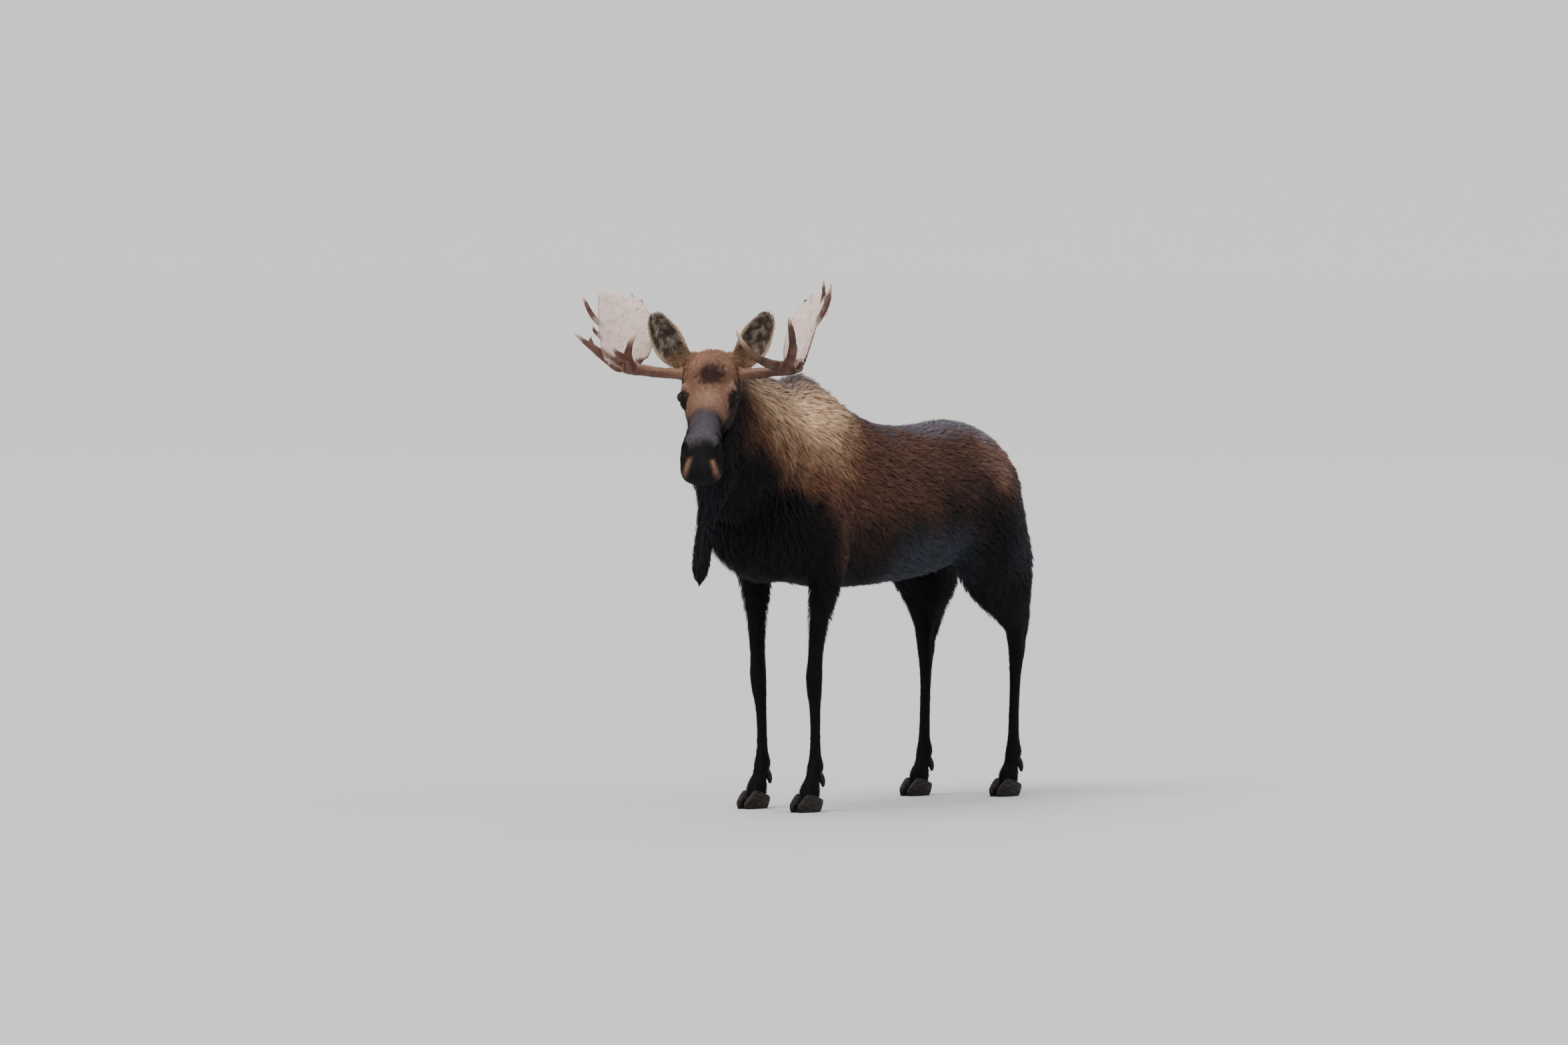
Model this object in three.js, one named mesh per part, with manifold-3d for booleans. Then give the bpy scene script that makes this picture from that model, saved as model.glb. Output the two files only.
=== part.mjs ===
// A life-size bull moose, standing with its head turned to its left.
// Millimetres, +Z up. The animal faces -Y, and its left side is +X.
// The flesh is modelled whole, as lofts joined into one solid, and is then parted by thin cuts into named
// pieces.
import * as THREE from "three";
import { mergeVertices } from "three/addons/utils/BufferGeometryUtils.js";
import Module from "manifold-3d";

const wasm = await Module();
wasm.setup();

// ---- Driving dimensions -------------------------------------------------------------------------
const GAP = 0.5; // width of a cut between two pieces
const CROWN = new THREE.Vector3(184, -748, 2050); // top of the head between the ears
const HEAD_AZIMUTH = THREE.MathUtils.degToRad(34); // turn of the head to the animal's left
const HEAD_PITCH = THREE.MathUtils.degToRad(60); // the face line against the vertical, nose forward
const EYE = { along: 248, left: 114, out: -96, radius: 20 }; // in the head's own frame
const BURR = 122; // from the middle of the head out to the foot of each antler
const FORE_STRIDE = -60; // how far the right forefoot stands in front of the left one
const HIND_STRIDE = 215; // and the right hind foot
const FOOT_SPREAD = 172; // from the middle of the animal out to each foot
const CORONET = 66; // height of the top of the hoof
const CLEFT = 9; // space between the two claws of a foot

// ---- Materials ----------------------------------------------------------------------------------
const coat = new THREE.MeshStandardMaterial({ color: 0x3a2a22, roughness: 0.9, metalness: 0 });
const antlerBone = new THREE.MeshStandardMaterial({ color: 0xb59a84, roughness: 0.6, metalness: 0 });
const hoofHorn = new THREE.MeshStandardMaterial({ color: 0x1d1916, roughness: 0.55, metalness: 0 });
const eyeGloss = new THREE.MeshStandardMaterial({ color: 0x140d09, roughness: 0.1, metalness: 0 });

// ---- The head's own frame -----------------------------------------------------------------------
const UP = new THREE.Vector3(0, 0, 1);
const ACROSS = new THREE.Vector3(1, 0, 0);
const forward = new THREE.Vector3(Math.sin(HEAD_AZIMUTH), -Math.cos(HEAD_AZIMUTH), 0);
const leftward = new THREE.Vector3(Math.cos(HEAD_AZIMUTH), Math.sin(HEAD_AZIMUTH), 0);
const noseward = forward.clone().multiplyScalar(Math.sin(HEAD_PITCH))
  .addScaledVector(UP, -Math.cos(HEAD_PITCH));
const faceward = forward.clone().multiplyScalar(Math.cos(HEAD_PITCH))
  .addScaledVector(UP, Math.sin(HEAD_PITCH));
const levelTurn = new THREE.Quaternion().setFromRotationMatrix(
  new THREE.Matrix4().makeBasis(leftward, forward.clone().negate(), UP));
const headTurn = new THREE.Quaternion().setFromRotationMatrix(
  new THREE.Matrix4().makeBasis(noseward, leftward, faceward));

// A point of the head, by its distance along the face, to the left and out of the face.
const onHead = (along, left, out) =>
  CROWN.clone().addScaledVector(noseward, along)
    .addScaledVector(leftward, left).addScaledVector(faceward, out);

// A point about the crown, level with the world: to the head's left, ahead and up.
const byCrown = (left, ahead, up) =>
  CROWN.clone().addScaledVector(leftward, left).addScaledVector(forward, ahead).addScaledVector(UP, up);

// ---- Shape helpers ------------------------------------------------------------------------------
// A closed mesh as a solid, with its faces turned outward.
function solid(geometry) {
  const plain = new THREE.BufferGeometry().setAttribute("position", geometry.getAttribute("position"));
  const merged = mergeVertices(plain.setIndex(geometry.index), 1e-3);
  const vertProperties = merged.attributes.position.array;
  const triVerts = new Uint32Array(merged.index.array);
  const shape = new wasm.Manifold(new wasm.Mesh({ numProp: 3, vertProperties, triVerts }));
  if (shape.volume() > 0) return shape;
  for (let i = 0; i < triVerts.length; i += 3) {
    [triVerts[i], triVerts[i + 1]] = [triVerts[i + 1], triVerts[i]];
  }
  return new wasm.Manifold(new wasm.Mesh({ numProp: 3, vertProperties, triVerts }));
}

const joined = (solids) => solids.reduce((a, b) => a.add(b));
const shared = (solids) => solids.reduce((a, b) => a.intersect(b));
const signedPower = (x, power) => Math.sign(x) * Math.abs(x) ** power;
const smoothLine = (points) => new THREE.CatmullRomCurve3(points, false, "catmullrom", 0.5);

// A closed body carried along a smooth line through its stations. A station is the section's centre
// [x, y, z], its reach [half width, rise, drop] and how far its two edges bend upward, cup.
// side points along the section's width. top and bottom are the powers of the section's upper and
// lower curve, where 2 is an ellipse and less is a roof. cap is the rounded share of each end.
function loft(stations, { side = ACROSS, around = 16, along = 16, top = 2, bottom = 2, cap = 0.08 } = {}) {
  const line = smoothLine(stations.map(([x, y, z]) => new THREE.Vector3(x, y, z)));
  const reach = smoothLine(stations.map((s) => new THREE.Vector3(s[3], s[4], s[5])));
  const cups = smoothLine(stations.map((s) => new THREE.Vector3(s[6] ?? 0, 0, 0)));
  const geometry = new THREE.SphereGeometry(1, around, along);
  const { position, uv } = geometry.attributes;
  for (let i = 0; i < position.count; i++) {
    const t = 1 - uv.getY(i);
    const angle = 2 * Math.PI * uv.getX(i);
    const power = Math.sin(angle) > 0 ? 2 / top : 2 / bottom;
    const nearEnd = Math.max(0, 1 - Math.min(t, 1 - t) / cap);
    const rounding = Math.sqrt(Math.max(0, 1 - nearEnd * nearEnd));
    const tangent = line.getTangent(t);
    const upward = new THREE.Vector3().crossVectors(tangent, side).normalize();
    const across = new THREE.Vector3().crossVectors(upward, tangent);
    const [half, rise, drop] = reach.getPoint(t).toArray();
    const share = signedPower(Math.cos(angle), power) * rounding;
    const lift = (Math.sin(angle) > 0 ? rise : drop) * signedPower(Math.sin(angle), power) * rounding;
    const bend = cups.getPoint(t).x * share * share;
    const point = line.getPoint(t).addScaledVector(across, share * half).addScaledVector(upward, lift + bend);
    position.setXYZ(i, point.x, point.y, point.z);
  }
  return solid(geometry);
}

// A round tapering rod through points [x, y, z, radius].
function rod(points, { side = ACROSS, around = 8, along = 8 } = {}) {
  return loft(points.map(([x, y, z, r]) => [x, y, z, r, r, r]), { side, around, along, cap: 0.06 });
}

// All that lies behind a plane, which faces along a normal and is moved along it by grow.
function behind(point, normal, grow = 0) {
  const size = 6000;
  const block = new THREE.BoxGeometry(size, size, size).translate(0, 0, grow - size / 2);
  const turn = new THREE.Quaternion().setFromUnitVectors(UP, normal.clone().normalize());
  return solid(block.applyQuaternion(turn).translate(point.x, point.y, point.z));
}

const before = (point, normal, grow = 0) => behind(point, normal.clone().negate(), grow);

// A block about a centre, with its half sizes made larger by grow.
function blockAbout(centre, [x, y, z], grow = 0, turn = new THREE.Quaternion()) {
  const block = new THREE.BoxGeometry(2 * (x + grow), 2 * (y + grow), 2 * (z + grow));
  return solid(block.applyQuaternion(turn).translate(centre.x, centre.y, centre.z));
}

function ellipsoid(centre, radii, { turn = new THREE.Quaternion(), around = 8, along = 6 } = {}) {
  const ball = new THREE.SphereGeometry(1, around, along).scale(...radii);
  return solid(ball.applyQuaternion(turn).translate(centre.x, centre.y, centre.z));
}

// ---- Trunk, neck and tail -----------------------------------------------------------------------
function trunkForm() {
  const rows = [
    // y, z, half width, rise, drop
    [-420, 1300, 120, 150, 130],
    [-330, 1300, 200, 260, 215],
    [-180, 1300, 250, 450, 285],
    [0, 1300, 275, 618, 300],
    [180, 1300, 290, 608, 325],
    [400, 1310, 305, 474, 345],
    [660, 1320, 312, 386, 345],
    [940, 1330, 308, 366, 325],
    [1170, 1340, 290, 374, 275],
    [1350, 1330, 255, 338, 235],
    [1478, 1300, 200, 246, 230],
    [1540, 1280, 120, 160, 180],
  ];
  const stations = rows.map((row) => [0, ...row]);
  const side = ACROSS.clone().negate();
  return loft(stations, { side, around: 18, along: 15, top: 1.75, bottom: 2.1, cap: 0.06 });
}

function neckForm() {
  const stations = [
    [0, 90, 1510, 220, 330, 360],
    [8, -80, 1570, 215, 325, 410],
    [30, -250, 1640, 198, 302, 415],
    [62, -400, 1715, 175, 256, 370],
    [102, -530, 1790, 150, 190, 300],
    [142, -640, 1860, 128, 152, 240],
    [170, -715, 1905, 105, 115, 180],
  ];
  return loft(stations, { around: 16, along: 10, top: 1.8, cap: 0.1 });
}

function tailForm() {
  const points = [
    [0, 1460, 1530, 34],
    [0, 1520, 1527, 32],
    [0, 1567, 1484, 28],
    [0, 1584, 1424, 25],
    [0, 1584, 1362, 19],
    [0, 1578, 1318, 9],
  ];
  return rod(points, { around: 7, along: 6 });
}

// ---- Legs and feet ------------------------------------------------------------------------------
// Each row is [x, y, z, half width, front, back], on the left side, before the stride.
const FORELEG = [
  [110, -10, 1500, 90, 150, 140],
  [172, 0, 1380, 108, 185, 165],
  [202, 18, 1230, 96, 158, 155],
  [204, 28, 1080, 80, 108, 125],
  [196, 18, 950, 63, 76, 92],
  [186, 5, 820, 51, 60, 66],
  [180, -4, 700, 43, 49, 49],
  [178, -8, 600, 46, 50, 44],
  [177, -8, 530, 43, 46, 42],
  [175, -2, 450, 33, 35, 36],
  [173, 2, 350, 29, 31, 33],
  [172, 2, 260, 30, 32, 35],
  [172, 0, 200, 38, 38, 44],
  [172, -16, 145, 36, 35, 38],
  [172, -34, 95, 46, 46, 46],
  [172, -44, 50, 44, 44, 44],
];
const HINDLEG = [
  [96, 1245, 1500, 70, 150, 130],
  [146, 1240, 1420, 120, 240, 215],
  [182, 1235, 1280, 116, 264, 270],
  [198, 1240, 1130, 104, 244, 284],
  [198, 1318, 990, 84, 204, 272],
  [194, 1396, 870, 66, 130, 192],
  [186, 1450, 780, 52, 78, 124],
  [179, 1470, 705, 46, 56, 76],
  [174, 1476, 625, 39, 43, 54],
  [172, 1474, 510, 32, 35, 37],
  [171, 1468, 380, 30, 32, 34],
  [171, 1464, 270, 31, 33, 36],
  [171, 1460, 200, 38, 38, 45],
  [171, 1446, 145, 36, 35, 38],
  [171, 1428, 95, 45, 45, 45],
  [171, 1418, 50, 44, 44, 44],
];

// sign is 1 on the left and -1 on the right. A stride moves the leg forward, from its root down.
const feet = {
  fore_left: { rows: FORELEG, sign: 1, y: -38, stride: 0, root: 1300, planted: 400, chest: 985, reach: 225 },
  fore_right: {
    rows: FORELEG, sign: -1, y: -38, stride: FORE_STRIDE, root: 1300, planted: 400, chest: 985, reach: 225,
  },
  hind_left: {
    rows: HINDLEG, sign: 1, y: 1424, stride: 0, root: 1150, planted: 650, chest: 1030, reach: 436,
  },
  hind_right: {
    rows: HINDLEG, sign: -1, y: 1424, stride: HIND_STRIDE, root: 1150, planted: 650, chest: 1030, reach: 436,
  },
};

function legForm({ rows, sign, stride, root, planted }) {
  const moved = (z) => stride * THREE.MathUtils.smoothstep(root - z, 0, root - planted);
  const stations = rows.map(([x, y, z, ...sizes]) => [sign * x, y - moved(z), z, ...sizes]);
  return loft(stations, { around: 8, along: 19, cap: 0.02 });
}

const footPoint = ({ sign, y, stride }, height) => new THREE.Vector3(sign * FOOT_SPREAD, y - stride, height);

// One claw of a foot, flat on the floor: outer is 1 for the claw at larger x and -1 for the other.
function clawForm(foot, outer) {
  const { x, y } = footPoint(foot, 0);
  const rows = [
    // sideways, back, height, half width, rise, drop
    [26, 48, 34, 18, 26, 44],
    [29, 18, 38, 24, 46, 50],
    [29, -28, 38, 26, 48, 50],
    [26, -72, 28, 20, 28, 46],
    [18, -112, 14, 9, 12, 36],
  ];
  const stations = rows.map(([sideways, back, ...rest]) => [x + outer * sideways, y + back, ...rest]);
  const whole = loft(stations, { around: 8, along: 5, top: 2.2, bottom: 2.4, cap: 0.16 });
  const cleft = before(new THREE.Vector3(x + outer * CLEFT / 2, y, 0), ACROSS.clone().multiplyScalar(outer));
  const aboveFloor = before(new THREE.Vector3(), UP);
  return shared([whole, cleft, aboveFloor]);
}

// The coronet runs down toward the heel.
const coronet = { normal: new THREE.Vector3(0, 0.35, 1), at: (foot) => footPoint(foot, CORONET) };

function dewClaw(foot, outer, grow = 0) {
  const { x, y } = footPoint(foot, 0);
  const points = [
    // sideways, back, height, radius
    [17, 40 - 2 * grow, 172 + 2 * grow, 15 + grow],
    [24, 52, 152, 15 + grow],
    [28, 59, 128, 12 + grow],
    [29, 60, 106, 5],
  ];
  return rod(points.map(([sideways, back, ...rest]) => [x + outer * sideways, y + back, ...rest]),
    { around: 5, along: 4 });
}

// ---- Head ---------------------------------------------------------------------------------------
const headRows = (rows) =>
  rows.map(([along, out, ...sizes]) => [...onHead(along, 0, out).toArray(), ...sizes]);

function skullForm() {
  const rows = [
    // along, out, half width, rise, drop
    [-70, -150, 84, 84, 90],
    [-20, -140, 120, 118, 125],
    [40, -130, 130, 125, 150],
    [110, -120, 130, 120, 165],
    [180, -116, 124, 108, 172],
    [250, -118, 112, 96, 165],
    [330, -122, 96, 86, 140],
    [420, -122, 83, 82, 108],
    [510, -120, 80, 86, 90],
    [590, -122, 87, 92, 88],
    [665, -136, 94, 92, 98],
    [732, -168, 89, 79, 98],
    [780, -202, 64, 54, 68],
  ];
  return loft(headRows(rows), { side: leftward, around: 16, along: 16, top: 2, bottom: 2.5, cap: 0.045 });
}

function jawForm() {
  const rows = [
    [120, -205, 60, 40, 60],
    [190, -225, 84, 60, 72],
    [270, -232, 80, 60, 64],
    [370, -222, 64, 50, 52],
    [480, -214, 54, 45, 50],
    [580, -224, 54, 42, 62],
    [650, -240, 54, 38, 70],
    [692, -250, 38, 26, 50],
  ];
  return loft(headRows(rows), { side: leftward, around: 9, along: 7, top: 2.2, bottom: 2.2 });
}

// The ridge of bone and skin over each eye.
const browForm = (sign) =>
  ellipsoid(onHead(EYE.along - 20, sign * 94, -80), [70, 31, 36], { turn: headTurn });

// The muscle that carries each ear.
const earRootForm = (sign) => ellipsoid(byCrown(sign * 92, -36, -58), [50, 44, 46]);

// The hair-covered stump that carries each antler, cut square at the burr.
function pedicleForm(sign) {
  const points = [
    [50, -30, -108, 46],
    [90, -20, -106, 38],
    [BURR, -10, -108, 29],
    [BURR + 30, -4, -110, 27],
  ];
  const whole = rod(points.map(([left, ahead, up, r]) => [...byCrown(sign * left, ahead, up).toArray(), r]),
    { side: forward, around: 8, along: 5 });
  return whole.intersect(behind(byCrown(sign * BURR, 0, 0), leftward.clone().multiplyScalar(sign), -GAP));
}

// The opening of each nostril, a comma that sinks into the side of the muzzle.
function nostrilCut(sign) {
  const points = [
    [640, 86, -108, 10],
    [668, 90, -116, 17],
    [700, 84, -134, 18],
    [722, 80, -160, 9],
  ];
  return rod(points.map(([along, left, out, r]) => [...onHead(along, sign * left, out).toArray(), r]),
    { side: leftward, around: 6, along: 5 });
}

const eyeBall = (sign, grow = 0) =>
  ellipsoid(onHead(EYE.along, sign * EYE.left, EYE.out), Array(3).fill(EYE.radius + grow));

// A cupped ear, open to the front, from its root to its rounded tip.
const EAR_LEAN = THREE.MathUtils.degToRad(32); // the ear's line against the vertical
function earForm(sign) {
  const rows = [
    // left, ahead, up, half width, rise, drop, cup
    [104, -46, -72, 40, 20, 20, 12],
    [142, -36, -34, 58, 15, 15, 34],
    [178, -26, 10, 75, 10, 10, 46],
    [204, -18, 60, 73, 7, 7, 42],
    [227, -12, 104, 58, 6, 6, 31],
    [239, -10, 136, 40, 5, 5, 16],
    [246, -10, 155, 18, 4, 4, 5],
  ];
  const stations = rows.map(([left, ahead, up, ...sizes]) =>
    [...byCrown(sign * left, ahead, up).toArray(), ...sizes]);
  const width = leftward.clone().multiplyScalar(-Math.cos(EAR_LEAN))
    .addScaledVector(UP, sign * Math.sin(EAR_LEAN));
  return loft(stations, { side: width, around: 10, along: 10 });
}

// The bell: a flap of skin and hair that hangs from the throat.
function bellForm() {
  const rows = [
    // left, ahead, up, half width, front, back
    [4, 40, -340, 84, 100, 120],
    [6, 56, -460, 94, 100, 130],
    [14, 76, -560, 93, 78, 104],
    [5, 92, -640, 67, 54, 66],
    [-11, 104, -720, 46, 42, 44],
    [-26, 114, -840, 43, 36, 40],
    [-35, 120, -930, 43, 32, 36],
    [-41, 122, -990, 33, 24, 26],
    [-46, 122, -1026, 15, 10, 10],
  ];
  const stations = rows.map(([left, ahead, up, ...sizes]) =>
    [...byCrown(left, ahead, up).toArray(), ...sizes]);
  return loft(stations, { side: leftward, around: 9, along: 12 });
}

// ---- Antlers ------------------------------------------------------------------------------------
// Antler points are [outward, ahead, up] from the crown. turn is the angle of the palm's width against
// the line across the head, lean is how much farther out the palm's top stands, and breadth widens it.
const ANTLERS = {
  left: { sign: 1, turn: THREE.MathUtils.degToRad(56), lean: 52, breadth: 0.8 },
  right: { sign: -1, turn: THREE.MathUtils.degToRad(38), lean: 4, breadth: 0.97 },
};
const byAntler = (sign, [outward, ahead, up, ...sizes]) =>
  [...byCrown(sign * outward, ahead, up).toArray(), ...sizes];
const antlerRod = (sign, points, around = 5, along = 6) =>
  rod(points.map((point) => byAntler(sign, point)), { side: forward, around, along });

// The round beam from the burr to the palm.
function beamForm({ sign }) {
  const points = [
    [BURR - 16, -10, -108, 30],
    [BURR + 5, -9, -109, 33],
    [BURR + 22, -6, -109, 25],
    [210, 2, -106, 23],
    [280, 12, -96, 24],
    [350, 24, -86, 27],
    [400, 34, -70, 22],
  ];
  const whole = antlerRod(sign, points, 8, 10);
  return whole.intersect(before(byCrown(sign * BURR, 0, 0), leftward.clone().multiplyScalar(sign)));
}

// The broad cupped plate: its line runs up and back, and its width from the smooth inner edge outward.
const PALM_LEAN = { from: -90, to: 250 }; // heights between which the palm leans outward
const PALM_ROWS = [
  // outward, ahead, up, half width, rise, drop, cup
  [352, 22, -98, 56, 18, 18, 4],
  [372, 12, -60, 112, 16, 16, 14],
  [384, -4, -10, 132, 13, 13, 26],
  [390, -34, 55, 142, 11, 11, 32],
  [394, -70, 125, 140, 9, 9, 30],
  [400, -102, 180, 126, 8, 8, 22],
  [404, -122, 210, 108, 7, 7, 14],
  [406, -132, 226, 88, 6, 6, 8],
];
const palmLean = ({ lean }, up) => lean * THREE.MathUtils.smoothstep(up, PALM_LEAN.from, PALM_LEAN.to);
const palmWidth = ({ sign, turn }) =>
  leftward.clone().multiplyScalar(sign * Math.cos(turn)).addScaledVector(forward, Math.sin(turn));
const palmNormal = ({ sign, turn }) =>
  forward.clone().multiplyScalar(Math.cos(turn)).addScaledVector(leftward, -sign * Math.sin(turn));

function palmForm(antler) {
  const stations = PALM_ROWS.map(([outward, ahead, up, half, ...sizes]) =>
    byAntler(antler.sign, [outward + palmLean(antler, up), ahead, up, half * antler.breadth, ...sizes]));
  const side = palmWidth(antler).multiplyScalar(-antler.sign);
  return loft(stations, { side, around: 10, along: 9, cap: 0.06 });
}

// The blunt points along the palm's top edge, from its inner corner to its outer one.
function palmPoints(antler) {
  const top = byCrown(antler.sign * (404 + antler.lean), -130, 216);
  const along = forward.clone().multiplyScalar(-0.5).addScaledVector(UP, 0.87);
  return [-0.95, -0.5, 0, 0.5, 0.95].map((share) => {
    const foot = top.clone().addScaledVector(palmWidth(antler), 112 * antler.breadth * share)
      .addScaledVector(palmNormal(antler), 14 * share * share).addScaledVector(along, -46 * share * share);
    const points = [[-42, 15], [-6, 13], [36, 6]].map(([height, radius]) =>
      [...foot.clone().addScaledVector(along, height).toArray(), radius]);
    return rod(points, { side: forward, around: 5, along: 3 });
  });
}

// Each tine is a rod through [outward, ahead, up, radius].
const TINES = {
  right: [
    [[345, 20, -90, 27], [352, 60, -62, 24], [356, 95, -36, 21], [350, 130, -8, 16], [334, 175, 32, 11],
      [308, 205, 68, 4]],
    [[356, 90, -44, 19], [372, 125, -36, 16], [396, 160, -18, 12], [414, 190, 12, 4]],
    [[385, 30, -74, 25], [440, 52, -52, 21], [492, 84, -8, 17], [545, 112, 34, 11], [584, 132, 68, 4]],
    [[488, 80, -18, 14], [510, 84, 12, 11], [518, 80, 36, 8], [518, 78, 54, 4]],
    [[474, 40, 100, 13], [510, 60, 140, 12], [535, 70, 187, 9], [553, 70, 224, 4]],
    [[470, 72, 48, 12], [500, 84, 76, 8], [508, 86, 100, 4]],
  ],
  left: [
    [[345, 26, -88, 28], [300, 85, -74, 24], [252, 130, -60, 20], [202, 165, -30, 16], [154, 195, 24, 11],
      [122, 215, 88, 4]],
    [[305, 70, -80, 24], [345, 112, -60, 22], [364, 142, -4, 19], [361, 168, 70, 14], [354, 180, 110, 9],
      [349, 188, 141, 4]],
    [[436, 28, 76, 14], [476, 42, 136, 13], [508, 22, 205, 11], [522, -8, 288, 4]],
    [[476, 0, 150, 12], [486, -30, 226, 10], [486, -45, 297, 4]],
  ],
};

// ---- Assembly -----------------------------------------------------------------------------------
const group = new THREE.Group();

function show(name, shape, material) {
  const { vertProperties, triVerts } = shape.getMesh();
  const geometry = new THREE.BufferGeometry()
    .setAttribute("position", new THREE.BufferAttribute(new Float32Array(vertProperties), 3))
    .setIndex(new THREE.BufferAttribute(new Uint32Array(triVerts), 1));
  const mesh = new THREE.Mesh(geometry, material);
  mesh.name = name;
  group.add(mesh);
}

// Shows what of a solid lies in a region, and gives back the rest. region(grow) makes the region larger.
function partOff(name, shape, region, material) {
  show(name, shape.intersect(region(0)), material);
  return shape.subtract(region(GAP));
}

// The flesh, whole, with its eye sockets and nostrils.
const sides = { left: 1, right: -1 };
const signs = Object.values(sides);
let flesh = joined([
  trunkForm(), neckForm(), tailForm(), skullForm(), jawForm(), bellForm(),
  ...Object.values(feet).map(legForm),
  ...signs.flatMap((sign) => [browForm(sign), pedicleForm(sign), earRootForm(sign), earForm(sign)]),
]);
for (const sign of signs) {
  const burrRoom = blockAbout(byCrown(sign * (BURR + 30), -9, -109), [30, 36, 36], GAP, levelTurn);
  flesh = flesh.subtract(eyeBall(sign, GAP)).subtract(nostrilCut(sign)).subtract(burrRoom);
}

// Hooves and dew claws.
for (const [name, foot] of Object.entries(feet)) {
  const belowCoronet = (grow) => behind(coronet.at(foot), coronet.normal, grow);
  const ground = blockAbout(footPoint(foot, 0), [130, 200, 160]);
  flesh = flesh.subtract(ground.intersect(belowCoronet(GAP)));
  for (const [place, outer] of [["outer", foot.sign], ["inner", -foot.sign]]) {
    show(`hoof_${name}_${place}`, clawForm(foot, outer).intersect(belowCoronet(0)), hoofHorn);
    flesh = flesh.subtract(dewClaw(foot, outer, GAP));
    show(`dewclaw_${name}_${place}`, dewClaw(foot, outer), hoofHorn);
  }
}

// The flesh's pieces, each taken off by a cut, with the trunk left at the end.
flesh = partOff("bell", flesh, (grow) => shared([
  behind(byCrown(0, 0, -560), UP, grow),
  blockAbout(byCrown(0, 100, -800), [150, 150, 440], grow, levelTurn),
]), coat);
for (const [side, sign] of Object.entries(sides)) {
  const earward = leftward.clone().multiplyScalar(sign * Math.sin(EAR_LEAN))
    .addScaledVector(UP, Math.cos(EAR_LEAN));
  flesh = partOff(`ear_${side}`, flesh, (grow) => shared([
    before(byCrown(sign * 140, -34, -30), earward, grow),
    blockAbout(byCrown(sign * 200, -20, 60), [150, 120, 170], grow, levelTurn),
  ]), coat);
  show(`eye_${side}`, eyeBall(sign), eyeGloss);
}
const headJoint = forward.clone().multiplyScalar(0.95).addScaledVector(UP, 0.31);
flesh = partOff("head", flesh, (grow) => before(byCrown(0, -150, -180), headJoint, grow), coat);
const neckJoint = new THREE.Vector3(0, -0.85, 0.52);
flesh = partOff("neck", flesh, (grow) => before(new THREE.Vector3(0, -245, 1630), neckJoint, grow), coat);
const tailPlace = new THREE.Vector3(0, 1646, 1430);
flesh = partOff("tail", flesh, (grow) => blockAbout(tailPlace, [60, 100, 130], grow), coat);
for (const [name, foot] of Object.entries(feet)) {
  const outward = new THREE.Vector3(foot.sign * 0.6, 0, -0.8);
  const root = new THREE.Vector3(foot.sign * 130, 0, foot.chest);
  flesh = partOff(`leg_${name}`, flesh, (grow) => shared([
    before(root, outward, grow),
    blockAbout(footPoint({ ...foot, stride: 0 }, 600).setX(foot.sign * 310), [300, foot.reach, 650], grow),
  ]), coat);
}
show("trunk", flesh, coat);

// The antlers, each split at its main forks.
for (const [side, antler] of Object.entries(ANTLERS)) {
  const { sign } = antler;
  const inFront = palmNormal(antler);
  const palmward = leftward.clone().multiplyScalar(sign * 0.75).addScaledVector(UP, 0.66);
  let whole = joined([
    beamForm(antler), palmForm(antler), ...palmPoints(antler),
    ...TINES[side].map((tine) => antlerRod(sign, tine)),
  ]);
  whole = partOff(`antler_${side}_brow`, whole, (grow) => shared([
    before(byCrown(sign * 384, 0, -10).addScaledVector(inFront, 50), inFront, grow),
    before(byCrown(0, 62, 0), forward, grow),
  ]), antlerBone);
  whole = partOff(`antler_${side}_palm`, whole, (grow) =>
    before(byCrown(sign * 345, 20, -85), palmward, grow), antlerBone);
  show(`antler_${side}_beam`, whole, antlerBone);
}

// The origin is the middle of the model's underside.
const bounds = new THREE.Box3().setFromObject(group);
const middle = bounds.getCenter(new THREE.Vector3());
group.position.set(-middle.x, -middle.y, -bounds.min.z);

export default group;
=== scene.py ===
"""A life-size bull moose, standing with its head turned to its left: skin, coat, antlers, hooves and eyes.

Shapes are worked out in millimetres about the animal's own middle, with x to its left, y toward its tail
and z up from the floor. Each piece is put into the model's frame, in metres, when its mesh is made.
"""

import math

import bpy
import numpy as np
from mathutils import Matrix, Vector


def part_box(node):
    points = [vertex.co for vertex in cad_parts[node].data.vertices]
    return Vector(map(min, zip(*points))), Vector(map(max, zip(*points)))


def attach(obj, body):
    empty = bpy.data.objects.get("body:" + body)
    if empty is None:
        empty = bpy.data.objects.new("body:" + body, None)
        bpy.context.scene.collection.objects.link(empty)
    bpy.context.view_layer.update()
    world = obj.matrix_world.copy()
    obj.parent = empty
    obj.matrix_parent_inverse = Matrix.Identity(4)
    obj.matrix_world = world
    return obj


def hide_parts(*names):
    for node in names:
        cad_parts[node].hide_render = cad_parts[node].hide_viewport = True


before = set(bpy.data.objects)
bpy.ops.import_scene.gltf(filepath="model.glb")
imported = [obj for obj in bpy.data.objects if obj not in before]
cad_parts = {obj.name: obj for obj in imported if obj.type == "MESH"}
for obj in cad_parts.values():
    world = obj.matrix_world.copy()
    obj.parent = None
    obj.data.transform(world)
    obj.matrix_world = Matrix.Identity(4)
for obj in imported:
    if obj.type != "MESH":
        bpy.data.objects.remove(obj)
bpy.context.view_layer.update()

# ---- Skull: where the head is ---------------------------------------------------------------------
# The skull sets the head's turn and pitch, and the eyes, ears and antlers are placed from its crown.
# The left eye's solid shows where the animal's own axes lie in the model's frame.
MILLIMETRE = 0.001
UP = np.array([0.0, 0.0, 1.0])
CROWN = np.array([184.0, -748.0, 2050.0])
HEAD_TURN = math.radians(34)
HEAD_PITCH = math.radians(60)
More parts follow.
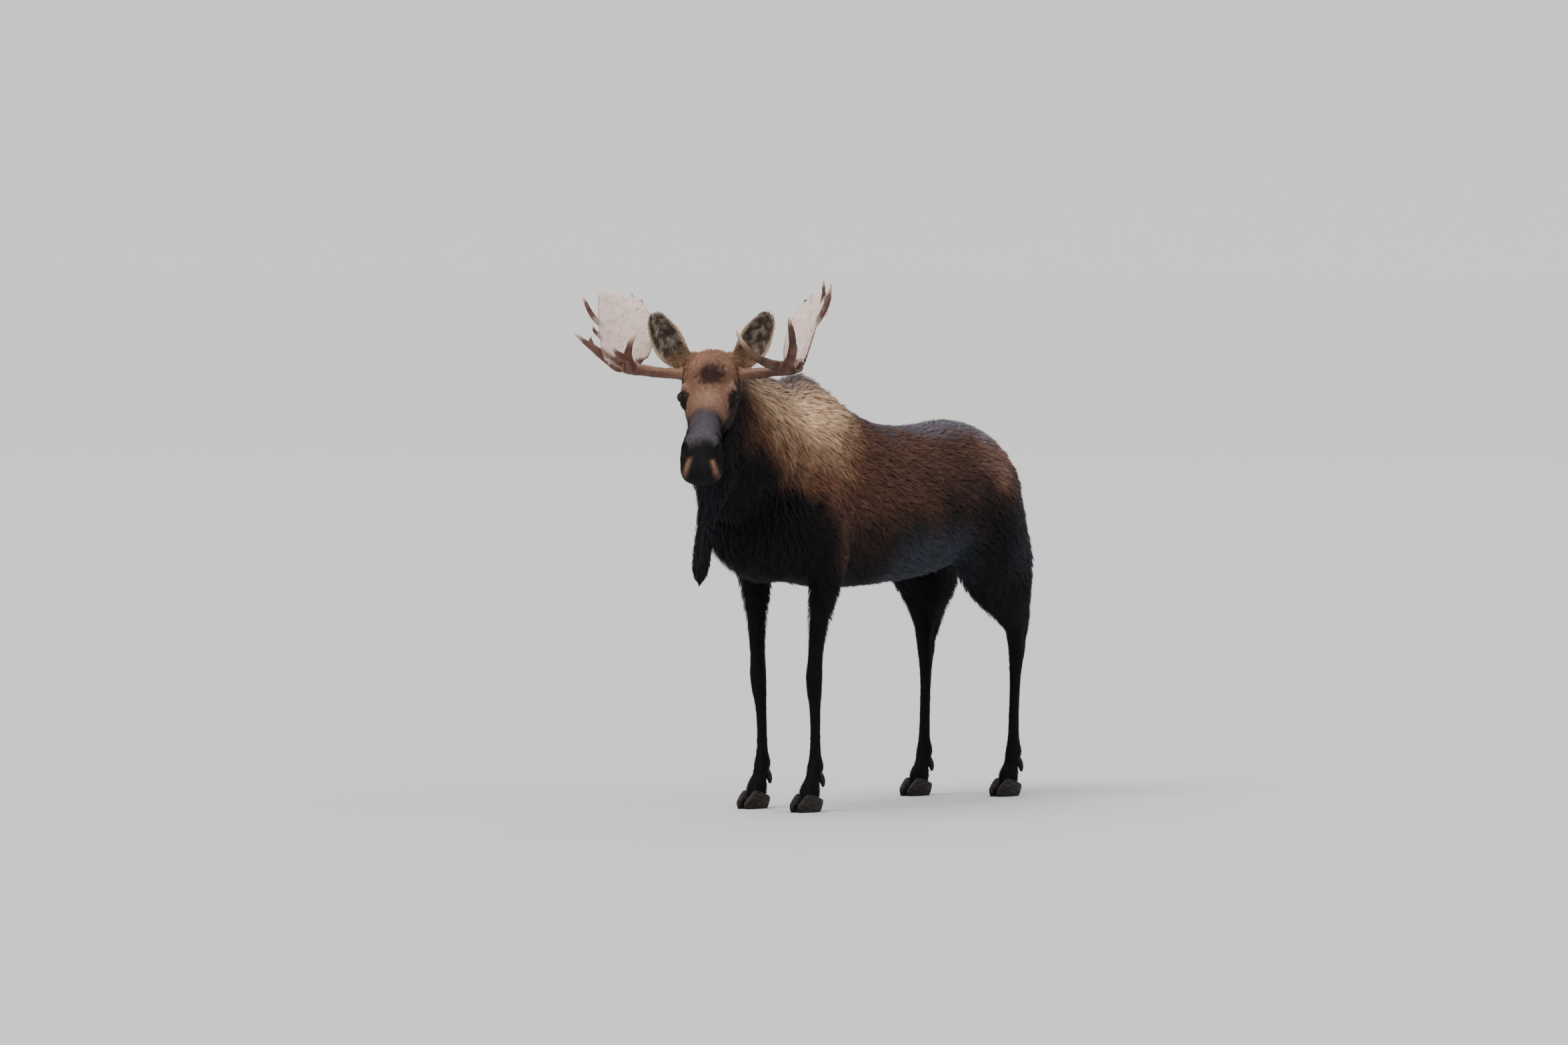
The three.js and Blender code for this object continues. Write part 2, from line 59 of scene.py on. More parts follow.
forward = np.array([math.sin(HEAD_TURN), -math.cos(HEAD_TURN), 0.0])
leftward = np.array([math.cos(HEAD_TURN), math.sin(HEAD_TURN), 0.0])
noseward = math.sin(HEAD_PITCH) * forward - math.cos(HEAD_PITCH) * UP
faceward = math.cos(HEAD_PITCH) * forward + math.sin(HEAD_PITCH) * UP
EYE = (248.0, 114.0, -96.0)
SIDES = {"left": 1, "right": -1}


def on_head(places):
    """Points from (along the face, left, out of it): the crown plus each of them times its own axis."""
    return CROWN + np.asarray(places, float) @ np.array([noseward, leftward, faceward])


def by_crown(places):
    """Points about the crown from (left, ahead, up), level with the world."""
    return CROWN + np.asarray(places, float) @ np.array([leftward, forward, UP])


def head_places(points):
    """The other way: along the face, left and out of it, for points anywhere."""
    return (points - CROWN) @ np.array([noseward, leftward, faceward]).T


def crown_places(points):
    """The same about the crown, level with the world: left, ahead and up."""
    return (points - CROWN) @ np.array([leftward, forward, UP]).T


def beside_crown(sign, rows):
    """Rows of outward, ahead, up and sizes, with their centres placed on one side of the crown."""
    return np.array([[*by_crown((sign * outward, ahead, up)), *sizes]
                     for outward, ahead, up, *sizes in rows])


def eye_centre(sign):
    """The middle of the eye on one side."""
    return on_head((EYE[0], sign * EYE[1], EYE[2]))


eye_low, eye_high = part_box("eye_left")
PLACE = (np.array(eye_low) + np.array(eye_high)) / 2 - on_head(EYE) * MILLIMETRE

# ---- Flesh: the body's forms ----------------------------------------------------------------------
# Trunk, neck, head, legs and tail are lofts through a few sections, each drawn in by the depth of the
# coat over it. They are merged into one closed skin, which stands for all the nodes of flesh.


def smoothstep(x, low, high):
    """0 below low, 1 above high, and 3s^2 - 2s^3 between them."""
    s = np.clip((x - low) / (high - low), 0, 1)
    return s * s * (3 - 2 * s)


def unit(v):
    """Vectors of length 1."""
    return v / np.maximum(np.linalg.norm(v, axis=-1, keepdims=True), 1e-9)


def dot(a, b):
    """The dot product, kept as a last axis of 1."""
    return np.sum(a * b, axis=-1, keepdims=True)


def through(rows, t):
    """A smooth line through rows, evenly by index: cubics with half the step across a row as its slope."""
    rows = np.asarray(rows, float)
    padded = np.vstack([2 * rows[0] - rows[1], rows, 2 * rows[-1] - rows[-2]])
    place = np.clip(t, 0, 1) * (len(rows) - 1)
    span = np.minimum(place.astype(int), len(rows) - 2)
    s = (place - span)[:, None]
    a, b, c, d = (padded[span + k] for k in range(4))
    start = (2 * s**3 - 3 * s**2 + 1) * b + (s**3 - 2 * s**2 + s) * (c - a) / 2
    return start + (3 * s**2 - 2 * s**3) * c + (s**3 - s**2) * (d - b) / 2


def signed_power(x, power):
    """|x|^power with the sign of x."""
    return np.sign(x) * np.abs(x) ** power


def loft(rows, side, around=48, along=60, top=2.0, bottom=2.0, cap=0.08, coat=(0, 0)):
    """Rings of a body carried along a smooth line through rows of x, y, z, half width, rise, drop and cup.

    A ring's point at angle a is centre + half * cos(a)^(2/top) across + rise * sin(a)^(2/top) upward, with
    drop and bottom below the middle. The edges are bent upward by cup * share^2, where share is how far out
    a point is, and both ends are rounded over cap, a share of the length.
    coat is the depth drawn in at the first and last row."""
    rows = np.array([list(row) + [0.0] * (7 - len(row)) for row in rows], float)
    t = np.linspace(0.0006, 0.9994, along)
    depth = (coat[0] + (coat[1] - coat[0]) * t)[:, None]
    line = through(rows[:, :3], t)
    tangent = unit(through(rows[:, :3], t + 1e-4) - through(rows[:, :3], t - 1e-4))
    upward = unit(np.cross(tangent, side))
    across = np.cross(upward, tangent)
    half, rise, drop, cup = np.split(through(rows[:, 3:], t), 4, axis=1)
    half, rise, drop = (np.maximum(size - depth, 0.4 * size) for size in (half, rise, drop))
    angle = np.linspace(0, 2 * np.pi, around, endpoint=False)[None]
    power = np.where(np.sin(angle) > 0, 2 / top, 2 / bottom)
    near_end = np.maximum(0, 1 - np.minimum(t, 1 - t) / cap)[:, None]
    rounding = np.sqrt(1 - near_end**2)
    share = signed_power(np.cos(angle), power) * rounding
    lift = np.where(np.sin(angle) > 0, rise, drop) * signed_power(np.sin(angle), power) * rounding
    lift = lift + cup * share**2
    return line[:, None] + (share * half)[..., None] * across[:, None] + lift[..., None] * upward[:, None]


def rod(points, side, around=20, along=40, coat=(0, 0)):
    """Rings of a round tapering rod through points x, y, z, radius."""
    rows = [[x, y, z, r, r, r] for x, y, z, r in points]
    return loft(rows, side, around, along, cap=0.06, coat=coat)


def ball(centre, radii, axes=np.eye(3), around=24, along=16):
    """Rings of an ellipsoid: centre + radii times the sphere's sin and cos, along the rows of axes."""
    polar = np.linspace(0.02, np.pi - 0.02, along)[:, None]
    turn = np.linspace(0, 2 * np.pi, around, endpoint=False)[None]
    sphere = [np.sin(polar) * np.cos(turn), np.sin(polar) * np.sin(turn), np.cos(polar) + 0 * turn]
    return np.asarray(centre) + (np.stack(sphere, -1) * np.asarray(radii)) @ axes


def ring_quads(rows, around):
    """Quads between each ring and the next: point k, the point after it, and the same two one ring on."""
    here = np.arange(around)
    after = (here + 1) % around
    step = (np.arange(rows - 1) * around)[:, None]
    corners = [here + step, after + step, after + step + around, here + step + around]
    return np.stack(corners, -1).reshape(-1, 4)


def shell(rings):
    """Points and faces of a closed skin: quads between rings and a fan to a pole at each end, facing out."""
    rows, around = rings.shape[:2]
    points = np.vstack([rings.reshape(-1, 3), rings[[0, -1]].mean(axis=1)])
    quads = ring_quads(rows, around)
    here = np.arange(around)
    after = (here + 1) % around
    last = (rows - 1) * around
    first_fan = np.stack([after, here, np.full(around, rows * around)], 1)
    last_fan = np.stack([here + last, after + last, np.full(around, rows * around + 1)], 1)
    fans = np.vstack([first_fan, last_fan])
    corners = points[quads]
    volume = np.sum(np.cross(corners[:, 0], corners[:, 1]) * corners[:, 2])
    volume += np.sum(np.cross(corners[:, 0], corners[:, 2]) * corners[:, 3])
    volume += np.sum(np.cross(points[fans[:, 0]], points[fans[:, 1]]) * points[fans[:, 2]])
    if volume < 0:
        quads, fans = quads[:, ::-1], fans[:, ::-1]
    return points, [quads, fans]


def put_together(shells):
    """Several shells as one set of points and faces."""
    points, faces, count = [], [], 0
    for some_points, some_faces in shells:
        points.append(some_points)
        faces += [face + count for face in some_faces]
        count += len(some_points)
    return np.vstack(points), faces


def make_piece(name, points, faces):
    """A mesh object in the model's frame, from points in millimetres and arrays of faces."""
    mesh = bpy.data.meshes.new(name)
    mesh.vertices.add(len(points))
    mesh.vertices.foreach_set("co", (points * MILLIMETRE + PLACE).astype(np.float32).ravel())
    corners = np.concatenate([face.ravel() for face in faces]).astype(np.int32)
    totals = np.concatenate([np.full(len(face), face.shape[1]) for face in faces])
    mesh.loops.add(len(corners))
    mesh.loops.foreach_set("vertex_index", corners)
    mesh.polygons.add(len(totals))
    mesh.polygons.foreach_set("loop_start", (np.cumsum(totals) - totals).astype(np.int32))
    mesh.polygons.foreach_set("use_smooth", np.full(len(totals), True))
    mesh.update(calc_edges=True)
    piece = bpy.data.objects.new(name, mesh)
    bpy.context.scene.collection.objects.link(piece)
    return piece


def points_of(piece):
    """A piece's points in the animal's own millimetres."""
    found = np.empty(len(piece.data.vertices) * 3, np.float32)
    piece.data.vertices.foreach_get("co", found)
    return (found.reshape(-1, 3) - PLACE) / MILLIMETRE


def normals_of(piece):
    """A piece's outward directions at its points."""
    found = np.empty(len(piece.data.vertices) * 3, np.float32)
    piece.data.vertex_normals.foreach_get("vector", found)
    return found.reshape(-1, 3).astype(float)


def move_points(piece, points):
    """Gives a piece's mesh new places for its points."""
    piece.data.vertices.foreach_set("co", (points * MILLIMETRE + PLACE).astype(np.float32).ravel())
    piece.data.update()


def apply_modifiers(piece):
    """Makes a piece's modifiers part of its mesh."""
    depsgraph = bpy.context.evaluated_depsgraph_get()
    rough, finished = piece.data, bpy.data.meshes.new_from_object(piece.evaluated_get(depsgraph))
    piece.modifiers.clear()
    piece.vertex_groups.clear()
    piece.data = finished
    bpy.data.meshes.remove(rough)


def merge(piece, voxel):
    """Merges a piece's overlapping shells into one closed skin of squares about voxel millimetres wide."""
    remesh = piece.modifiers.new("merge", "REMESH")
    remesh.mode = "VOXEL"
    remesh.voxel_size = voxel * MILLIMETRE
    remesh.use_smooth_shade = True
    apply_modifiers(piece)


TRUNK = [
    # y, z, half width, rise, drop
    [-420, 1300, 120, 150, 130],
    [-330, 1300, 200, 260, 215],
    [-180, 1300, 250, 450, 285],
    [0, 1300, 275, 618, 300],
    [180, 1300, 290, 608, 325],
    [400, 1310, 305, 474, 345],
    [660, 1320, 312, 386, 345],
    [940, 1330, 308, 366, 325],
    [1170, 1340, 290, 374, 275],
    [1350, 1330, 255, 338, 235],
    [1478, 1300, 200, 246, 230],
    [1540, 1280, 120, 160, 180],
]
NECK = [
    # x, y, z, half width, rise, drop
    [0, 90, 1510, 220, 330, 360],
    [8, -80, 1570, 215, 325, 410],
    [30, -250, 1640, 198, 302, 415],
    [62, -400, 1715, 175, 256, 370],
    [102, -530, 1790, 150, 190, 300],
    [142, -640, 1860, 128, 152, 240],
    [170, -715, 1905, 105, 115, 180],
]
TAIL = [
    # x, y, z, radius
    [0, 1460, 1530, 34],
    [0, 1520, 1527, 32],
    [0, 1567, 1484, 28],
    [0, 1584, 1424, 25],
    [0, 1584, 1362, 19],
    [0, 1578, 1318, 9],
]
ACROSS = np.array([1.0, 0.0, 0.0])
forms = [
    loft([[0, *row] for row in TRUNK], -ACROSS, 96, 110, top=1.75, bottom=2.1, cap=0.06, coat=(24, 20)),
    loft(NECK, ACROSS, 72, 60, top=1.8, cap=0.1, coat=(28, 16)),
    rod(TAIL, ACROSS, coat=(12, 5)),
]

# The legs: each row is x, y, z, half width, front and back on the left side, before the stride.
FORELEG = [
    [110, -10, 1500, 90, 150, 140],
    [172, 0, 1380, 108, 185, 165],
    [202, 18, 1230, 96, 158, 155],
    [204, 28, 1080, 80, 108, 125],
    [196, 18, 950, 63, 76, 92],
    [186, 5, 820, 51, 60, 66],
    [180, -4, 700, 43, 49, 49],
    [178, -8, 600, 46, 50, 44],
    [177, -8, 530, 43, 46, 42],
    [175, -2, 450, 33, 35, 36],
    [173, 2, 350, 29, 31, 33],
    [172, 2, 260, 30, 32, 35],
    [172, 0, 200, 38, 38, 44],
    [172, -16, 145, 36, 35, 38],
    [172, -34, 95, 46, 46, 46],
    [172, -44, 50, 44, 44, 44],
]
HINDLEG = [
    [96, 1245, 1500, 70, 150, 130],
    [146, 1240, 1420, 120, 240, 215],
    [182, 1235, 1280, 116, 264, 270],
    [198, 1240, 1130, 104, 244, 284],
    [198, 1318, 990, 84, 204, 272],
    [194, 1396, 870, 66, 130, 192],
    [186, 1450, 780, 52, 78, 124],
    [179, 1470, 705, 46, 56, 76],
    [174, 1476, 625, 39, 43, 54],
    [172, 1474, 510, 32, 35, 37],
    [171, 1468, 380, 30, 32, 34],
    [171, 1464, 270, 31, 33, 36],
    [171, 1460, 200, 38, 38, 45],
    [171, 1446, 145, 36, 35, 38],
    [171, 1428, 95, 45, 45, 45],
    [171, 1418, 50, 44, 44, 44],
]
FOOT_SPREAD = 172
FEET = {
    # rows, side, the foot's y, stride forward, and the heights where the stride starts and is complete
    "fore_left": (FORELEG, 1, -38, 0, 1300, 400),
    "fore_right": (FORELEG, -1, -38, -60, 1300, 400),
    "hind_left": (HINDLEG, 1, 1424, 0, 1150, 650),
    "hind_right": (HINDLEG, -1, 1424, 215, 1150, 650),
}


def stride_at(z, stride, root, planted):
    """How far a leg is moved forward at height z: 0 at its root, and the whole stride where planted."""
    return stride * smoothstep(root - z, 0, root - planted)


def leg_rows(foot):
    """A leg's rows with its side and stride applied."""
    rows, sign, _, stride, root, planted = FEET[foot]
    rows = np.array(rows, float)
    rows[:, 1] -= stride_at(rows[:, 2], stride, root, planted)
    rows[:, 0] *= sign
    return rows


forms += [loft(leg_rows(foot), ACROSS, 40, 130, cap=0.02, coat=(22, 3)) for foot in FEET]

# The head: skull and upper lip in one loft, the lower jaw in another. On each side there are swellings over
# the eye, round it and under the antler, the stump that the antler stands on, and an ear.
SKULL = [
    # along, out, half width, rise, drop
    [-70, -150, 84, 84, 90],
    [-20, -140, 120, 118, 125],
    [40, -130, 130, 125, 150],
    [110, -120, 130, 120, 165],
    [180, -116, 124, 108, 172],
    [250, -118, 112, 96, 165],
    [330, -122, 96, 86, 140],
    [420, -122, 83, 82, 108],
    [510, -120, 80, 86, 90],
    [590, -122, 87, 92, 88],
    [665, -136, 94, 92, 98],
    [732, -168, 89, 79, 98],
    [782, -203, 66, 56, 70],
]
JAW = [
    [120, -205, 60, 40, 60],
    [190, -225, 84, 60, 72],
    [270, -232, 80, 60, 64],
    [370, -222, 64, 50, 52],
    [480, -214, 54, 45, 50],
    [580, -224, 54, 42, 62],
    [650, -240, 54, 38, 70],
    [694, -251, 40, 28, 52],
]
BROW = [EYE[0] - 22, 92, -82, 64, 25, 30]
SOCKET = [EYE[0] - 10, 98, -106, 60, 28, 44]
BOSS = [92, -36, -58, 44, 38, 40]
BURR = 122
STUMP = [
    # outward, ahead, up, radius
    [50, -30, -108, 40],
    [90, -20, -106, 33],
    [BURR, -10, -108, 25],
    [BURR + 6, -8, -109, 22],
]


def head_rows(rows):
    """Rows given as along, out and sizes, with their centres placed on the head."""
    return [[*on_head((along, 0, out)), *sizes] for along, out, *sizes in rows]


head_axes = np.array([noseward, leftward, faceward])
forms += [
    loft(head_rows(SKULL), leftward, 72, 110, top=2, bottom=2.5, cap=0.045, coat=(12, 2)),
    loft(head_rows(JAW), leftward, 40, 60, top=2.2, bottom=2.2, coat=(12, 3)),
]
EAR_LEAN = math.radians(32)
EAR = [
    # outward, ahead, up, half width, rise, drop, cup
    [104, -46, -72, 37, 20, 20, 12],
    [142, -36, -34, 54, 14, 14, 34],
    [178, -26, 10, 71, 9, 9, 46],
    [204, -18, 60, 69, 7, 7, 42],
    [227, -12, 104, 55, 6, 6, 31],
    [239, -10, 134, 40, 5.5, 5.5, 18],
    [246, -10, 151, 23, 5, 5, 8],
]
for sign in SIDES.values():
    for along, left, out, *radii in (BROW, SOCKET):
        forms.append(ball(on_head((along, sign * left, out)), radii, head_axes))
    forms.append(ball(by_crown((sign * BOSS[0], *BOSS[1:3])), BOSS[3:]))
    forms.append(rod(beside_crown(sign, STUMP), forward))
    ear_side = -math.cos(EAR_LEAN) * leftward + sign * math.sin(EAR_LEAN) * UP
    forms.append(loft(beside_crown(sign, EAR), ear_side, 72, 90, top=2.4, bottom=2.4))

# The bell, a flap of skin and hair that hangs from the throat.
BELL = [
    # left, ahead, up, half width, front, back
    [4, 40, -340, 84, 100, 120],
    [6, 56, -460, 94, 100, 130],
    [14, 76, -560, 93, 78, 104],
    [5, 92, -640, 67, 54, 66],
    [-11, 104, -720, 46, 42, 44],
    [-26, 114, -840, 43, 36, 40],
    [-35, 120, -930, 43, 32, 36],
    [-41, 122, -990, 33, 24, 26],
    [-46, 122, -1026, 15, 10, 10],
]
forms.append(loft(beside_crown(1, BELL), leftward, 40, 60, coat=(16, 4)))

SKIN_VOXEL = 4.0
skin = make_piece("skin", *put_together([shell(rings) for rings in forms]))
merge(skin, SKIN_VOXEL)


HEAD_CUT = (by_crown((0, -150, -180)), unit(0.95 * forward + 0.31 * UP))
NECK_CUT = (np.array([0, -245, 1630]), unit(np.array([0, -0.85, 0.52])))


def from_planes(points):
    """How deep points lie in the head and in the neck: how far past the planes that part them off."""
    return [(points - place) @ facing for place, facing in (HEAD_CUT, NECK_CUT)]


def ear_depth(points):
    """How far out along its ear each point lies, from the ear's root; below 0 everywhere else."""
    left, ahead, up = crown_places(points).T
    outward = np.abs(left)
    depth = (outward - 140) * math.sin(EAR_LEAN) + (up + 30) * math.cos(EAR_LEAN)
    near = (outward > 70) & (outward < 320) & (np.abs(ahead + 20) < 110) & (up < 220) & (up > -110)
    return np.where(near, depth, -200)


def body_places(points):
    """Where points lie on the left half: how far out, y with the right legs' strides taken back, and z."""
    x, y, z = points.T
    fore, hind = (stride_at(z, *FEET[foot][3:]) for foot in ("fore_right", "hind_right"))
    return np.stack([np.abs(x), y + np.where(x < 0, np.where(y < 600, fore, hind), 0), z], 1)


# The creases between the merged forms are smoothed away: widely on the body, a little on the bell and the
# tail, and hardly or not at all on the face, the ears and the lower legs.
points = points_of(skin)
head_depth, _ = from_planes(points)
softness = smoothstep(points[:, 2], 700, 1000) * (1 - 0.96 * smoothstep(head_depth, -70, 60))
softness *= 1 - 0.7 * smoothstep(points[:, 1], 1500, 1560)
bell_share = (1 - smoothstep(points[:, 2], 1640, 1780)) * smoothstep(head_depth, -40, 40)
softness = np.maximum(softness, 0.12 * bell_share)
softness[ear_depth(points) > -20] = 0
group = skin.vertex_groups.new(name="soft")
LEVELS = 16
steps = np.round(softness * LEVELS).astype(int)
for level in range(1, LEVELS + 1):
    group.add(np.flatnonzero(steps == level).tolist(), level / LEVELS, "REPLACE")
spread = skin.modifiers.new("creases", "SMOOTH")
spread.factor = 0.6
spread.iterations = 420
spread.vertex_group = "soft"
even = skin.modifiers.new("voxel steps", "SMOOTH")
even.factor = 0.5
even.iterations = 5
apply_modifiers(skin)

# ---- Skin: muscle, bone and folds -----------------------------------------------------------------
# What lies under the skin is modelled in low mounds and hollows. The skin is then thinned to a light mesh.


def mounds(places, table):
    """The sum of soft mounds, each height * exp(-((place - centre) / reach)^2 / 2)."""
    total = np.zeros(len(places))
    for *shape, height in table:
        apart = (places - np.array(shape[:3])) / np.array(shape[3:])
        total += height * np.exp(-np.sum(apart**2, axis=1) / 2)
    return total


BODY_MOUNDS = [
    # out, y, z, reach along each, height
    # Shoulder blade, the hollow behind it, breast, upper arm and elbow.
    [250, -70, 1570, 70, 75, 150, 13],
    [290, 190, 1480, 80, 60, 210, -15],
    [235, -260, 1330, 80, 60, 75, 15],
    [250, -40, 1250, 80, 70, 90, 10],
    [215, 70, 1120, 60, 40, 60, 8],
    # Belly, flank hollow, hip bone, haunch, seat bone, stifle and the hollow behind it.
    [300, 620, 1230, 90, 190, 130, 9],
    [300, 960, 1400, 90, 100, 120, -19],
    [270, 1075, 1600, 70, 60, 55, 16],
    [280, 1270, 1330, 80, 110, 150, 13],
    [170, 1500, 1430, 60, 50, 60, 9],
    [228, 1110, 1060, 60, 55, 60, 12],
    [235, 1330, 1020, 50, 40, 90, -8],
    # Knee, the grooves of the shank below it, and fetlock.
    [178, -52, 600, 26, 18, 34, 5],
    [178, 42, 620, 18, 14, 22, 5],
    [210, 12, 370, 9, 9, 110, -4],
    [138, 12, 370, 9, 9, 110, -4],
    [172, 34, 200, 26, 16, 24, 5],
    # Hock, the hollows above it, the grooves of the shank below it, and fetlock.
    [176, 1528, 655, 16, 18, 30, 8],
    [206, 1492, 730, 14, 16, 60, -7],
    [146, 1492, 730, 14, 16, 60, -7],
    [206, 1478, 640, 14, 20, 30, 5],
    [206, 1474, 400, 9, 9, 110, -4],
    [138, 1474, 400, 9, 9, 110, -4],
    [172, 1494, 200, 26, 16, 24, 5],
]
HEAD_MOUNDS = [
    # along, left, out, reach along each, height
    # Cheekbone, the groove under it, temple, forehead, poll, brow, tear groove and side of the nose.
    [330, 100, -128, 70, 14, 9, 5],
    [360, 92, -165, 70, 20, 14, -5],
    [165, 128, -70, 42, 26, 30, -8],
    [215, 0, -10, 70, 44, 40, -6],
    [100, 0, -10, 46, 60, 40, 6],
    [205, 112, -62, 34, 18, 12, 5],
    [300, 100, -122, 26, 20, 12, -4],
    [470, 78, -150, 60, 16, 18, -5],
    # The nostril's wings, its opening in three steps, and the lip before and below it.
    [642, 64, -60, 24, 26, 16, 14],
    [660, 96, -92, 34, 12, 18, 10],
    [700, 101, -132, 24, 10, 26, 9],
    [674, 62, -88, 11, 18, 11, -18],
    [694, 74, -106, 14, 14, 13, -30],
    [716, 82, -130, 13, 11, 13, -24],
    [722, 44, -108, 16, 12, 20, 4],
    [740, 92, -166, 16, 12, 16, 5],
    # The cleft of the upper lip, its overhang, the corner of the mouth, and the jaw.
    [752, 0, -150, 28, 9, 36, -6],
    [690, 72, -200, 60, 30, 16, 7],
    [600, 80, -205, 60, 20, 10, -6],
    [250, 84, -250, 70, 20, 30, 8],
]
points = points_of(skin)
head_depth, _ = from_planes(points)
on_face = smoothstep(head_depth, -20, 40)
height = mounds(body_places(points), BODY_MOUNDS) * (1 - on_face)
face = head_places(points)
height += mounds(np.stack([face[:, 0], np.abs(face[:, 1]), face[:, 2]], 1), HEAD_MOUNDS) * on_face
move_points(skin, points + normals_of(skin) * height[:, None])
SKIN_TRIANGLES = 165000
thin = skin.modifiers.new("thin", "DECIMATE")
thin.ratio = SKIN_TRIANGLES / (2 * len(skin.data.polygons))
apply_modifiers(skin)


def triangles_of(piece):
    """The corners of a piece's faces, cut into triangles."""
    piece.data.calc_loop_triangles()
    found = np.empty(len(piece.data.loop_triangles) * 3, np.int32)
    piece.data.loop_triangles.foreach_get("vertices", found)
    return found.reshape(-1, 3)


# ---- Eyelids --------------------------------------------------------------------------------------
# Folds of bare dark skin round each eye, part of the skin: a rounded rim on the eyeball, a crease, and a
# slope that sinks into the face.
LID_BACK = 112
EYELID = [
    # share of the way from the opening to LID_BACK degrees behind, radius
    [-0.01, 18.6], [-0.02, 20.0], [0.0, 21.4], [0.05, 22.3], [0.12, 22.5], [0.19, 21.7], [0.24, 21.3],
    [0.31, 22.4], [0.42, 23.6], [0.56, 24.2], [0.74, 24.0], [0.9, 22.5], [1.0, 19.0],
]


def look_axes(sign):
    """Rows for an eye: the way it looks, its level line toward the nose, and its upward line."""
    look = unit(0.64 * sign * leftward + 0.74 * forward + 0.1 * UP)
    level = unit(noseward - look * (noseward @ look))
    return np.array([look, level, np.cross(look, level) * sign])


def eyelids(sign):
    """Rings about the eye: each stands a share of the way from the opening's angle to the angle LID_BACK.

    The opening is 1 / (|cos a / wide|^1.5 + |sin a / high|^1.5)^(1/1.5), in degrees."""
    look, level, upright = look_axes(sign)
    angle = np.linspace(0, 2 * np.pi, 72, endpoint=False)[None]
    wide = np.where(np.cos(angle) > 0, 66.0, 60.0)
    high = np.where(np.sin(angle) > 0, 42.0, 36.0)
    opening = (np.abs(np.cos(angle) / wide) ** 1.5 + np.abs(np.sin(angle) / high) ** 1.5) ** (-1 / 1.5)
    share, radius = np.array(EYELID).T[:, :, None]
    polar = np.radians(opening + (LID_BACK - opening) * share)
    ring = np.cos(polar)[..., None] * look + np.sin(polar)[..., None] * (
        np.cos(angle)[..., None] * level + np.sin(angle)[..., None] * upright)
    return eye_centre(sign) + radius[..., None] * ring


def band(rings):
    """Points and faces of an open band over rings, its faces turned outward from the rings' middle."""
    quads = ring_quads(*rings.shape[:2])
    points = rings.reshape(-1, 3)
    facing = np.cross(points[quads[:, 1]] - points[quads[:, 0]], points[quads[:, 3]] - points[quads[:, 0]])
    outward = points[quads].mean(axis=1) - points.mean(axis=0)
    if np.sum(facing * outward) < 0:
        quads = quads[:, ::-1]
    return points, [quads]


folds = [band(eyelids(sign)) for sign in SIDES.values()]
whole = put_together([(points_of(skin), [triangles_of(skin)]), *folds])
bpy.data.objects.remove(skin)
skin = make_piece("skin", *whole)

# ---- Eyes -----------------------------------------------------------------------------------------
# Glossy balls under the lids, with a bulging cornea over a brown iris and a level pupil. Each is loose in
# its socket of skin.


def soft_colour(red, green, blue):
    """A colour given from 0 to 255 as it looks, in the straight light values that shading uses."""
    share = np.array([red, green, blue]) / 255
    return np.where(share < 0.04045, share / 12.92, ((share + 0.055) / 1.055) ** 2.4)


def plain(colour, points):
    """One colour for every point."""
    return colour + np.zeros((len(points), 3))


def paint(colours, over, share):
    """Colours moved a share of the way to another colour: a + (b - a) * share."""
    return colours + (over - colours) * np.asarray(share)[..., None]


def ripple(points, size, seed):
    """Smooth noise of about -1 to 1: a sum of six sines along random lines, their waves about size long."""
    source = np.random.default_rng(seed)
    waves = unit(source.normal(size=(6, 3))) * source.uniform(0.7, 1.6, (6, 1)) * 2 * np.pi / size
    start = source.uniform(0, 2 * np.pi, 6)
    return np.sin(points @ waves.T + start + np.sin(points @ waves[::-1].T * 0.6)).sum(axis=1) / 2.6


def give_colours(piece, colours):
    """Keeps a colour at each point of a piece, for its material."""
    layer = piece.data.color_attributes.new("Markings", "FLOAT_COLOR", "POINT")
    opaque = np.hstack([colours, np.ones((len(colours), 1))])
    layer.data.foreach_set("color", opaque.astype(np.float32).ravel())


